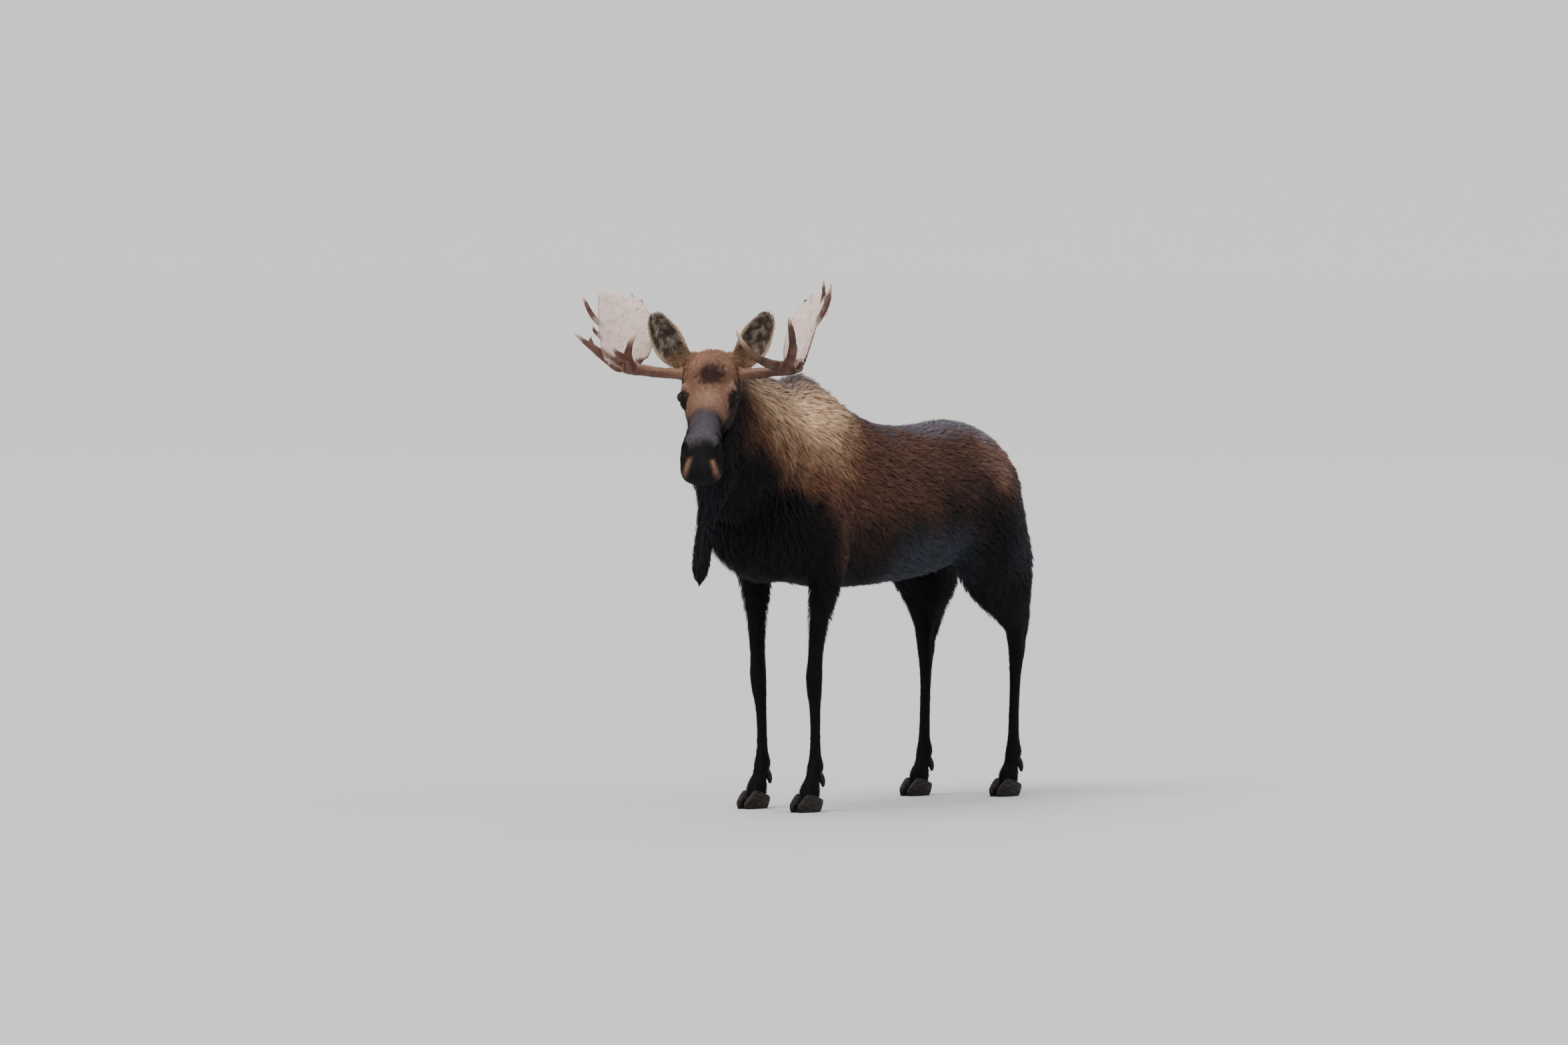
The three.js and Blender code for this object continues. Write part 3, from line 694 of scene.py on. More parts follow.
def shaded(name, roughness, specular=0.5, bump=0.0, grain=(400, 400, 400), fleck=0.0, clear=0.0):
    """A material in the piece's markings, flecked and bumped by noise of so many grains a metre."""
    material = bpy.data.materials.new(name)
    material.use_nodes = True
    nodes, links = material.node_tree.nodes, material.node_tree.links
    shader = nodes["Principled BSDF"]
    shader.inputs["Roughness"].default_value = roughness
    shader.inputs["Specular IOR Level"].default_value = specular
    shader.inputs["Coat Weight"].default_value = clear
    shader.inputs["Coat Roughness"].default_value = 0.03
    colour = nodes.new("ShaderNodeAttribute")
    colour.attribute_name = "Markings"
    place = nodes.new("ShaderNodeTexCoord")
    stretch = nodes.new("ShaderNodeMapping")
    stretch.inputs["Scale"].default_value = grain
    noise = nodes.new("ShaderNodeTexNoise")
    noise.inputs["Scale"].default_value = 1.0
    noise.inputs["Detail"].default_value = 3.0
    links.new(place.outputs["Object"], stretch.inputs["Vector"])
    links.new(stretch.outputs["Vector"], noise.inputs["Vector"])
    spread_out = nodes.new("ShaderNodeMapRange")
    spread_out.inputs["From Min"].default_value = 0.25
    spread_out.inputs["From Max"].default_value = 0.75
    spread_out.inputs["To Min"].default_value = 1 - fleck
    spread_out.inputs["To Max"].default_value = 1 + fleck
    links.new(noise.outputs["Fac"], spread_out.inputs["Value"])
    scale = nodes.new("ShaderNodeVectorMath")
    scale.operation = "SCALE"
    links.new(colour.outputs["Color"], scale.inputs[0])
    links.new(spread_out.outputs["Result"], scale.inputs["Scale"])
    links.new(scale.outputs["Vector"], shader.inputs["Base Color"])
    if bump:
        relief = nodes.new("ShaderNodeBump")
        relief.inputs["Distance"].default_value = bump * MILLIMETRE
        links.new(noise.outputs["Fac"], relief.inputs["Height"])
        links.new(relief.outputs["Normal"], shader.inputs["Normal"])
    return material


EYE_BALL = 18.3
CORNEA = 1.7
IRIS = soft_colour(34, 20, 13)
PUPIL = soft_colour(6, 4, 4)
IRIS_EDGE = soft_colour(14, 9, 7)
EYE_WHITE = soft_colour(24, 17, 15)
eye_gloss = shaded("eye", 0.09, specular=0.25)
for side, sign in SIDES.items():
    look, level, upright = look_axes(sign)
    polar = np.linspace(0.004, np.pi - 0.02, 90)[:, None]
    turn = np.linspace(0, 2 * np.pi, 96, endpoint=False)[None]
    bulge = CORNEA * np.clip(1 - (polar / math.radians(40)) ** 2, 0, 1)
    way = np.cos(polar)[..., None] * look + np.sin(polar)[..., None] * (
        np.cos(turn)[..., None] * level + np.sin(turn)[..., None] * upright)
    points, faces = shell(eye_centre(sign) + (EYE_BALL + bulge)[..., None] * way)
    angle = np.degrees(polar + 0 * turn).ravel()
    around = (0 * polar + turn).ravel()
    rays = np.sin(around * 34) * np.cos(around * 13)
    across_pupil = np.hypot(angle * np.cos(around) / 15, angle * np.sin(around) / 8)
    colours = paint(IRIS * (1 + 0.25 * rays[:, None]), PUPIL, 1 - smoothstep(across_pupil, 0.9, 1.15))
    colours = paint(colours, IRIS_EDGE, smoothstep(angle, 31, 37))
    colours = paint(colours, EYE_WHITE, smoothstep(angle, 60, 72))
    eye = make_piece(f"eye_ball_{side}", points, faces)
    give_colours(eye, np.vstack([colours, colours[[0, -1]]]))
    eye.data.materials.append(eye_gloss)
    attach(eye, "root")
    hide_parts(f"eye_{side}")

# ---- Hooves ---------------------------------------------------------------------------------------
# Two claws of dark horn on each foot, with a cleft between them, and two dew claws behind. The claws grow
# from the foot at the coronet, under the skin's edge.
CORONET = 66
CORONET_SLOPE = 0.35
CLEFT = 9
HORN_DARK = soft_colour(22, 19, 18)
HORN_PALE = soft_colour(56, 47, 41)
CLAW = [
    # sideways, back, height, half width, rise, drop
    [26, 46, 30, 16, 20, 44],
    [29, 18, 38, 24, 46, 50],
    [29, -28, 38, 26, 48, 50],
    [26, -72, 28, 20, 28, 46],
    [18, -112, 14, 9, 12, 36],
]
DEW_CLAW = [
    # sideways, back, height, radius
    [17, 40, 172, 15],
    [24, 52, 152, 15],
    [28, 59, 128, 12],
    [29, 60, 106, 5],
]
horn = shaded("hoof", 0.55, specular=0.2, bump=0.8, grain=(60, 60, 420), fleck=0.12)
for foot, (_, side, foot_y, stride, _, _) in FEET.items():
    x, y = side * FOOT_SPREAD, foot_y - stride
    parts = []
    for outer in (1, -1):
        claw, dew_claw = ([[x + outer * sideways, y + back, *sizes] for sideways, back, *sizes in rows]
                          for rows in (CLAW, DEW_CLAW))
        rings = loft(claw, ACROSS, 64, 60, top=2.2, bottom=2.4, cap=0.16)
        rings[..., 0] = x + outer * np.maximum(outer * (rings[..., 0] - x), CLEFT / 2)
        rings[..., 2] = np.clip(rings[..., 2], 0, CORONET - CORONET_SLOPE * (rings[..., 1] - y))
        parts.append(shell(rings))
        parts.append(shell(rod(dew_claw, ACROSS, 20, 24)))
    hoof = make_piece(f"hooves_{foot}", *put_together(parts))
    merge(hoof, 2.5)
    points = points_of(hoof)
    growth = np.sin((points[:, 2] + CORONET_SLOPE * (points[:, 1] - y)) / 3.4 + 0.8 * ripple(points, 60, 5))
    on_wall = smoothstep(points[:, 2], 3, 8) * (1 - smoothstep(points[:, 2], 60, 66))
    points = points + normals_of(hoof) * (0.35 * growth * on_wall)[:, None]
    points[:, 2] = np.maximum(points[:, 2], 0)
    move_points(hoof, points)
    tone = 0.5 + 0.3 * growth + 0.4 * ripple(points, 30, 6)
    give_colours(hoof, paint(plain(HORN_DARK, points), HORN_PALE, 0.5 * tone))
    hoof.data.materials.append(horn)
    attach(hoof, "root")
    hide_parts(*(f"{part}_{foot}_{place}" for part in ("hoof", "dewclaw")
                        for place in ("outer", "inner")))

# ---- Antlers --------------------------------------------------------------------------------------
# Bare bone, one piece a side: a round beam from a pearled burr on the skull's stump, a cupped palm, and
# tines. The beam and tines are brown and grooved, with worn pale tips, and the palm is pale.
ANTLERS = {
    # side, turn of the palm's width, how much farther out its top leans, its breadth
    "left": (1, math.radians(56), 52, 0.8),
    "right": (-1, math.radians(38), 4, 0.97),
}
BEAM = [
    # outward, ahead, up, radius
    [BURR - 6, -10, -108, 27],
    [BURR + 5, -9, -109, 32],
    [BURR + 22, -6, -109, 25],
    [210, 2, -106, 23],
    [280, 12, -96, 24],
    [350, 24, -86, 27],
    [400, 34, -70, 22],
]
PALM_LEANS_FROM, PALM_LEANS_TO = -90, 250
PALM = [
    # outward, ahead, up, half width, rise, drop, cup
    [352, 22, -98, 56, 18, 18, 4],
    [372, 12, -60, 112, 16, 16, 14],
    [384, -4, -10, 132, 13, 13, 26],
    [390, -34, 55, 142, 11, 11, 32],
    [394, -70, 125, 140, 9, 9, 30],
    [400, -102, 180, 126, 8, 8, 22],
    [404, -122, 210, 108, 7, 7, 14],
    [406, -132, 226, 88, 6, 6, 8],
]
TINES = {
    # outward, ahead, up, radius, from root to tip
    "right": [
        [[345, 20, -90, 27], [352, 60, -62, 24], [356, 95, -36, 21], [350, 130, -8, 16],
         [334, 175, 32, 11], [308, 205, 68, 4]],
        [[356, 90, -44, 19], [372, 125, -36, 16], [396, 160, -18, 12], [414, 190, 12, 4]],
        [[385, 30, -74, 25], [440, 52, -52, 21], [492, 84, -8, 17], [545, 112, 34, 11], [584, 132, 68, 4]],
        [[488, 80, -18, 14], [510, 84, 12, 11], [518, 80, 36, 8], [518, 78, 54, 4]],
        [[474, 40, 100, 13], [510, 60, 140, 12], [535, 70, 187, 9], [553, 70, 224, 4]],
        [[470, 72, 48, 12], [500, 84, 76, 8], [508, 86, 100, 4]],
    ],
    "left": [
        [[345, 26, -88, 28], [300, 85, -74, 24], [252, 130, -60, 20], [202, 165, -30, 16],
         [154, 195, 24, 11], [122, 215, 88, 4]],
        [[305, 70, -80, 24], [345, 112, -60, 22], [364, 142, -4, 19], [361, 168, 70, 14],
         [354, 180, 110, 9], [349, 188, 141, 4]],
        [[436, 28, 76, 14], [476, 42, 136, 13], [508, 22, 205, 11], [522, -8, 288, 4]],
        [[476, 0, 150, 12], [486, -30, 226, 10], [486, -45, 297, 4]],
    ],
}
# The palm's rim bears small points. They fall away by the square of how far out they stand, and bow ahead.
RIM_TOP = (404, -130, 216)
RIM_SHARES = (-0.95, -0.5, 0, 0.5, 0.95)
RIM_HALF, RIM_BOW, RIM_FALL = 112, 14, 46
RIM_POINT = [
    # height, radius
    [-42, 15],
    [-6, 13],
    [36, 6],
]
MARKS = 26

CREAM = soft_colour(240, 212, 203)
STAIN = soft_colour(168, 138, 120)
# The brown of beam and tines, darker on the left antler as painted shade.
BARK_WITH_SIDE_SHADE = {"left": soft_colour(66, 42, 34), "right": soft_colour(92, 60, 48)}
RIM_BROWN = {"left": 0.9, "right": 0.6}
BARK_PALE = soft_colour(132, 90, 68)
# Painted light: paler brown for the beam's upper faces.
BEAM_TOP_LIGHT = soft_colour(176, 132, 108)
# Painted light: paler brown for the beam near the burr.
BEAM_ROOT_LIGHT = soft_colour(140, 100, 78)
GROOVE = soft_colour(40, 27, 22)
WORN = soft_colour(212, 186, 164)
bone = shaded("antler", 0.5, specular=0.35, bump=0.5, grain=(240, 240, 240), fleck=0.10)


def nearest(points, marks):
    """For each point, the index of the nearest mark. Points are taken in 24 lots, to spare memory."""
    return np.concatenate([np.argmin(np.linalg.norm(some[:, None] - marks[None], axis=2), axis=1)
                           for some in np.array_split(points, 24)])


def blot(*axes):
    """A soft spot: exp(-sum of ((value - centre) / reach)^2) over the values, centres and reaches given."""
    return np.exp(-sum(((value - centre) / reach) ** 2 for value, centre, reach in axes))


def antler_forms(side):
    """Rings of the palm, and rods for the beam, the tines and the points of the rim."""
    sign, turn, lean, breadth = ANTLERS[side]
    palm_across = sign * math.cos(turn) * leftward + math.sin(turn) * forward
    palm_facing = math.cos(turn) * forward - sign * math.sin(turn) * leftward
    palm_rows = [[outward + lean * float(smoothstep(up, PALM_LEANS_FROM, PALM_LEANS_TO)), ahead, up,
                  half * breadth, *sizes] for outward, ahead, up, half, *sizes in PALM]
    palm = loft(beside_crown(sign, palm_rows), -sign * palm_across, 90, 80, cap=0.06)
    rods = [beside_crown(sign, rows) for rows in (BEAM, *TINES[side])]
    top = by_crown((sign * (RIM_TOP[0] + lean), *RIM_TOP[1:]))
    rise = -0.5 * forward + 0.87 * UP
    for share in RIM_SHARES:
        foot = top + palm_across * RIM_HALF * breadth * share
        foot = foot + (palm_facing * RIM_BOW - rise * RIM_FALL) * share**2
        rods.append(np.array([[*(foot + rise * height), radius] for height, radius in RIM_POINT]))
    return palm, rods


def antler_places(points, palm, rods, tines):
    """Where points lie on an antler, told by marks along every rod's middle and by a net over the palm.

    Given back: the lie of the rod nearest each point, how far along its tine it is, whether it is on the
    beam, its share of palm (0 on beam and tines, 1 on the palm, its rim and the roots of its tines), how near
    the palm's edge it is, and how far up the palm."""
    steps = np.linspace(0, 1, MARKS)
    lines = [through(rod_points, steps) for rod_points in rods]
    number = np.repeat(np.arange(len(rods)), MARKS)
    low = np.array([k == 0 or rod_points[0, 2] < CROWN[2] + 40 for k, rod_points in enumerate(rods)])
    on_root = 1 - smoothstep(np.tile(steps, len(rods)) + low[number], 0.12, 0.4)
    on_rim = number > tines
    marks = np.vstack([line[:, :3] for line in lines])
    mark = nearest(points, marks)
    lie = np.concatenate([unit(np.gradient(line[:, :3], axis=0)) for line in lines])[mark]
    thick = np.concatenate([line[:, 3] for line in lines])[mark]
    apart = points - marks[mark]
    off = np.linalg.norm(apart - lie * dot(apart, lie), axis=1)

    net = palm[::3, ::3]
    faced = unit(np.cross(np.gradient(net, axis=0), np.gradient(net, axis=1))).reshape(-1, 3)
    knots = net.reshape(-1, 3)
    knot = nearest(points, knots)
    apart = points - knots[knot]
    off_sheet = np.abs(dot(apart, faced[knot]))[:, 0]
    row, column = np.divmod(knot, net.shape[1])
    edge = np.abs(np.cos(2 * np.pi * column / net.shape[1]))
    height_up = row / (net.shape[0] - 1)

    share = smoothstep(off - thick - off_sheet + 3 * ripple(points, 24, 28), -9, 12)
    on_face = (1 - smoothstep(np.linalg.norm(apart, axis=1), 14, 26)) * (1 - smoothstep(off_sheet, 6, 11))
    share = np.maximum(share, on_face * smoothstep(height_up, 0.24, 0.4))
    share = share * smoothstep(off - 1.1 * thick + 60 * np.maximum(0, height_up - 0.3), 0, 14)
    share = np.maximum(share, np.maximum(on_root, on_rim)[mark])
    far = (np.tile(steps, len(rods)) * (number > 0))[mark]
    return lie, far, (number == 0)[mark], share, edge, height_up


for side, (sign, *_) in ANTLERS.items():
    palm, rods = antler_forms(side)
    antler = make_piece(f"antler_{side}", *put_together(
        [shell(palm)] + [shell(rod(points, forward, 24, 60)) for points in rods]))
    merge(antler, 3.0)
    points = points_of(antler)
    lie, far, on_beam, palmate, edge, height_up = antler_places(points, palm, rods, len(TINES[side]))

    # Grooves run along the beam and tines and wear away toward the tips, and pearls ring the burr.
    grain = points - lie * dot(points, lie) * 0.9
    grooves = ripple(grain, 15, 21) + 0.6 * ripple(grain, 8, 22)
    outward = sign * crown_places(points)[:, 0]
    pearls = 3 * blot((outward, BURR + 5, 8)) * np.maximum(0, ripple(points, 11, 23))
    swell = 0.6 * ripple(points, 110, 24) + 0.25 * ripple(points, 45, 25)
    worn = smoothstep(far, 0.72, 1) * (1 - palmate)
    lift = grooves * (0.75 * (1 - palmate) * (1 - worn) + 0.16 * palmate) + pearls + swell
    points = points + normals_of(antler) * lift[:, None]
    move_points(antler, points)

    # The palm is cream with stains and a brown foot and rim. Beam and tines are brown, darker on the left
    # antler as painted shade, its palm's rim and foot too. The beam has painted light on its top and near the
    # burr.
    mottle = 0.5 + 0.5 * ripple(points, 70, 26)
    fine = 0.5 + 0.5 * ripple(points, 16, 27)
    pale = paint(plain(CREAM, points), STAIN, 0.5 * mottle * fine)
    rim = smoothstep(edge, 0.93, 1.0) * RIM_BROWN[side]
    low = 1 - smoothstep(height_up + 0.02 * ripple(points, 60, 28), 0.1, 0.2)
    pale = paint(pale, BARK_WITH_SIDE_SHADE[side] * 1.3, np.clip(rim + low, 0, 1) * palmate)
    stalk = paint(plain(BARK_WITH_SIDE_SHADE[side], points), BARK_PALE, 0.3 * mottle)
    # Painted light on the beam: paler where its surface faces up.
    stalk = paint(stalk, BEAM_TOP_LIGHT, 0.4 * on_beam * smoothstep(normals_of(antler)[:, 2], 0, 0.8))
    # Painted light near the burr: the beam is paler there.
    outward = sign * crown_places(points)[:, 0]
    stalk = paint(stalk, BEAM_ROOT_LIGHT, 0.5 * (1 - smoothstep(outward, BURR + 20, BURR + 120)))
    stalk = paint(stalk, GROOVE, 0.3 * smoothstep(-grooves, 0, 1.5))
    stalk = paint(stalk, WORN, worn)
    give_colours(antler, np.clip(paint(stalk, pale, palmate), 0.004, 1))
    antler.data.materials.append(bone)
    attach(antler, "root")
    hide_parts(*(f"antler_{side}_{part}" for part in ("brow", "palm", "beam")))

# ---- Markings -------------------------------------------------------------------------------------
# The coat's colours, painted on the skin by place: near-black below, red-brown flanks, a tan shoulder, a
# painted blue-grey sheen along the top and on the belly and rear thighs, painted shade over the flank
# hollow, and a rust forehead with a dark patch on it.
neck_ridge = [[y, z + rise] for _, y, z, _, rise, _ in NECK[:0:-1]]
trunk_ridge = [[y, z + rise] for y, z, _, rise, _ in TRUNK[3:]]
RIDGE = np.array(neck_ridge + trunk_ridge, float).T
NEAR_BLACK = soft_colour(14, 12, 14)
DARK_BROWN = soft_colour(42, 31, 28)
RED_BROWN = soft_colour(80, 54, 44)
HAUNCH_BROWN = soft_colour(134, 102, 86)
# Painted shade for the hollow of the flank.
FLANK_HOLLOW_SHADE = soft_colour(48, 36, 34)
# Painted sheen, blue-grey, for the belly's side and the rear thigh.
BELLY_SHEEN_GREY = soft_colour(49, 52, 62)
NECK_BROWN = soft_colour(118, 80, 58)
TAN = soft_colour(222, 184, 148)
# Painted sheen: blue-grey along the top of the coat, greyer toward the rump.
PAINTED_SHEEN = soft_colour(60, 59, 70)
PAINTED_RUMP_SHEEN = soft_colour(104, 100, 108)
# For each y, the height from which the coat is tan, and the same for red-brown.
TAN_FROM = ((-700, -500, -400, -280, -120, 50, 220, 400), (1885, 1775, 1690, 1595, 1515, 1490, 1580, 1720))
RED_FROM = ((-500, -250, -60, 60, 400, 800, 1200, 1500), (1790, 1610, 1410, 1160, 1260, 1330, 1400, 1380))
MUZZLE = 640


def body_colours(points):
    """Colours of the trunk, neck and legs: patches by height, by y and by depth below the ridge."""
    _, y, z = body_places(points).T
    below = np.interp(y, *RIDGE) - z
    rough = 40 * ripple(points, 300, 31) + 26 * ripple(points, 110, 32)
    colours = plain(NEAR_BLACK, points)
    above_red = z + rough - np.interp(y, *RED_FROM)
    colours = paint(colours, DARK_BROWN, 0.7 * smoothstep(above_red, -260, -20))
    colours = paint(colours, RED_BROWN, smoothstep(above_red, -90, 150))
    colours = paint(colours, HAUNCH_BROWN, 0.65 * blot((y, 1330, 200), (z + rough, 1540, 70)))
    # Painted shade, darker over the hollow of the flank before the haunch.
    colours = paint(colours, FLANK_HOLLOW_SHADE, 0.6 * blot((y, 1020, 150), (z + rough, 1450, 130)))
    # Painted sheen: blue-grey on the side of the belly and on the rear thigh.
    belly_sheen = smoothstep(y, 380, 560) * (1 - smoothstep(y, 950, 1120)) * (1 - smoothstep(z, 1130, 1300))
    thigh_sheen = smoothstep(y, 1220, 1400) * smoothstep(z, 950, 1100) * (1 - smoothstep(z, 1330, 1460))
    colours = paint(colours, BELLY_SHEEN_GREY, 0.8 * belly_sheen + 0.5 * thigh_sheen * (1 - belly_sheen))
    above_tan = z + rough - np.interp(y, *TAN_FROM)
    saddle = smoothstep(y + 0.5 * rough, -760, -660) * (1 - smoothstep(y + rough, 140, 420))
    tan = paint(plain(TAN * 0.5, points), TAN, blot((y, -30, 190), (z, 1745, 105)))
    colours = paint(colours, NECK_BROWN, 0.8 * smoothstep(above_tan, -190, 50) * saddle)
    colours = paint(colours, tan, smoothstep(above_tan, -50, 190) * saddle)
    # Painted sheen along the top of the neck, hump and back, greyer toward the rump.
    sheen_along_top = (1 - smoothstep(below + 0.4 * rough, 20, 120)) * smoothstep(z, 1500, 1560)
    sheen_colour = paint(plain(PAINTED_SHEEN, points), PAINTED_RUMP_SHEEN, 0.8 * smoothstep(y, 500, 1000))
    return paint(colours, sheen_colour, 0.88 * sheen_along_top * smoothstep(y, -620, -450))


HEAD_DARK = soft_colour(31, 24, 22)
CHEEK_BROWN = soft_colour(84, 58, 50)
RUST = soft_colour(146, 108, 88)
# Rust with painted light, for the ridge down the middle of the face.
RUST_RIDGE_LIGHT = soft_colour(182, 142, 120)
POLL_BROWN = soft_colour(140, 104, 80)
PATCH_BROWN = soft_colour(50, 34, 30)
BROW_TAN = soft_colour(176, 138, 116)
SOCKET_BLACK = soft_colour(18, 14, 14)
# Painted sheen, blue-grey, for the bridge of the nose.
BRIDGE_SHEEN_GREY = soft_colour(106, 98, 106)
NOSE_BLACK = soft_colour(21, 18, 20)
# Painted highlights, grey, for the nostrils' wings and rims.
WING_HIGHLIGHT_GREY = soft_colour(76, 74, 85)
LIP_TAN = soft_colour(158, 118, 96)


def head_colours(points):
    """Colours of the head: patches by place along the face, off its middle line, and toward its front."""
    along, left, out = head_places(points).T
    off = np.abs(left)
    rough = 10 * ripple(points, 60, 33) + 6 * ripple(points, 24, 34)
    front = smoothstep(out + rough, -150, -85)
    colours = paint(plain(HEAD_DARK, points), CHEEK_BROWN, 0.3 * blot((along, 330, 130), (out, -150, 50)))
    forehead = front * (1 - smoothstep(along + rough, 385, 470)) * (1 - smoothstep(off + rough, 92, 122))
    colours = paint(colours, RUST, forehead)
    # The middle of the face is paler: rust hair with painted light on its ridge.
    colours = paint(colours, RUST_RIDGE_LIGHT, 0.7 * front * blot((along, 330, 80), (off, 0, 60)))
    poll = smoothstep(-along, -110, 0) * smoothstep(out, -230, -120)
    colours = paint(colours, POLL_BROWN, poll)
    ragged = 12 * ripple(points, 34, 37) + 8 * ripple(points, 15, 38)
    patch = smoothstep(1.35 - np.hypot((along - 178 + ragged) / 66, (left - 12 - ragged) / 56), 0.05, 0.7)
    colours = paint(colours, PATCH_BROWN, 0.92 * patch * front)
    colours = paint(colours, BROW_TAN, 0.8 * blot((along, 222, 36), (off, 98, 22), (out, -66, 26)))
    from_eye = np.hypot(np.hypot((along - 262) * 0.85, off - 112), (out + 104) * 0.85)
    colours = paint(colours, SOCKET_BLACK, 0.95 * (1 - smoothstep(from_eye + rough, 28, 58)))
    # Painted sheen: blue-grey on the bridge of the nose.
    bridge_sheen = smoothstep(along + 1.4 * rough, 385, 490) * (1 - smoothstep(off + rough, 48, 80))
    colours = paint(colours, BRIDGE_SHEEN_GREY, 0.85 * bridge_sheen * smoothstep(out, -118, -66))
    colours = paint(colours, NOSE_BLACK, smoothstep(along + rough, MUZZLE, MUZZLE + 70))
    # Painted highlights on the wings of the nostrils and along their rims.
    wing_highlight = blot((along, 646, 26), (off, 60, 26), (out, -56, 20))
    wing_highlight += blot((along, 700, 36), (off, 102, 9), (out, -126, 34))
    colours = paint(colours, WING_HIGHLIGHT_GREY, 0.6 * np.clip(wing_highlight, 0, 1))

    # A tan strip down each side of the upper lip, by how far below the crown a point is as the head hangs.
    drop = 0.5 * along - 0.866 * out
    strip = smoothstep(along, 690, 720) * smoothstep(drop + rough, 440, 474)
    strip = strip * (1 - smoothstep(drop, 562, 590))
    strip = strip * blot((off, np.interp(drop, (450, 515, 560), (44, 66, 76)), 11))
    colours = paint(colours, LIP_TAN, 0.85 * strip)
    throat = smoothstep(-out, 235, 290)
    return paint(colours, NEAR_BLACK, 0.8 * throat)


BELL_BLACK = soft_colour(22, 22, 28)
EAR_BARE = soft_colour(80, 66, 58)
EAR_DOWN = soft_colour(168, 152, 138)
EAR_BACK = soft_colour(92, 68, 54)
EAR_BACK_DARK = soft_colour(58, 44, 40)
EAR_RIM = soft_colour(206, 178, 152)
EAR_ROOT = soft_colour(132, 98, 72)


def ear_places(points):
    """How far points lie from their ear's middle line, as a share of its half width, and along the ear."""
    left, _, up = crown_places(points).T
    flat = np.stack([np.abs(left), up], 1)
    steps = np.linspace(0, 1, 60)
    line = through(EAR, steps)
    mark = nearest(flat, line[:, [0, 2]])
    apart = flat - line[mark][:, [0, 2]]
    return apart @ np.array([math.cos(EAR_LEAN), -math.sin(EAR_LEAN)]) / line[mark, 3], steps[mark]


def markings(points, normals):
    """The coat's colour anywhere: the body's, with the head's past its plane, and the bell's and ears'."""
    head_depth, _ = from_planes(points)
    z = points[:, 2]
    colours = body_colours(points)
    face = smoothstep(head_depth + 22 * ripple(points, 50, 35), -30, 60)
    colours = paint(colours, head_colours(points), face * smoothstep(z, 1480, 1560))
    hanging = smoothstep(head_depth, -40, 20) * (1 - smoothstep(z, 1480, 1580))
    hanging = hanging * (1 - smoothstep((points - CROWN) @ forward, 230, 300))
    colours = paint(colours, BELL_BLACK, hanging)
    outward = ear_depth(points)
    chosen = np.flatnonzero(outward > -60)
    if len(chosen):
        some = points[chosen]
        share, along = ear_places(some)
        facing = smoothstep(normals[chosen] @ forward, -0.15, 0.3)
        blotch = 0.5 + 0.5 * ripple(some, 44, 36)
        downy = smoothstep(blotch * (0.65 + 0.35 * np.cos(2 * share)), 0.3, 0.7)
        inside = paint(plain(EAR_BARE, some), EAR_DOWN, 0.8 * downy)
        back = paint(plain(EAR_BACK, some), EAR_BACK_DARK, blotch)
        ear = paint(back, inside, facing)
        ear = paint(ear, EAR_RIM, 0.9 * smoothstep(np.abs(share), 0.76, 0.88))
        base = 1 - smoothstep(outward[chosen], -10, 40)
        ear = paint(ear, EAR_ROOT, 0.8 * base * facing)
        colours[chosen] = paint(colours[chosen], ear, smoothstep(outward[chosen], -60, -5))
    return np.clip(colours, 0.003, 1)


# The bare skin of the eyelids is black, and the nostrils are painted near-black inside: dark skin with the
# shade of their openings painted in. Under the hair the skin is a little darker than the hair.
LID_BLACK = soft_colour(15, 12, 12)
# Near-black for inside the nostrils: dark skin with the openings' shade painted in.
NOSTRIL_SHADE_BLACK = soft_colour(5, 4, 5)
NOSTRIL = [
    # along, left, out
    [674, 64, -88],
    [696, 76, -108],
    [716, 84, -132],
]
points, normals = points_of(skin), normals_of(skin)
skin_colours = markings(points, normals)
for sign in SIDES.values():
    from_eye = np.linalg.norm(points - eye_centre(sign), axis=1)
    skin_colours = paint(skin_colours, LID_BLACK, 1 - smoothstep(from_eye, 25.5, 34))
    for along, left, out in NOSTRIL:
        inside = np.linalg.norm(points - on_head((along, sign * left, out)), axis=1)
        skin_colours = paint(skin_colours, NOSTRIL_SHADE_BLACK, 1 - smoothstep(inside, 12, 22))
give_colours(skin, skin_colours * 0.8)
skin.data.materials.append(shaded("skin", 0.65, specular=0.18, bump=1.2, grain=(300, 300, 110), fleck=0.18))
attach(skin, "root")
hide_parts("trunk", "neck", "head", "bell", "tail", "ear_left", "ear_right",
            *(f"leg_{foot}" for foot in FEET))

# ---- Coat: how the hair lies ----------------------------------------------------------------------
# Long coarse hair that hangs in locks on the hump, neck, throat and bell, and short close hair on the
# face and feet. It grows from the skin.


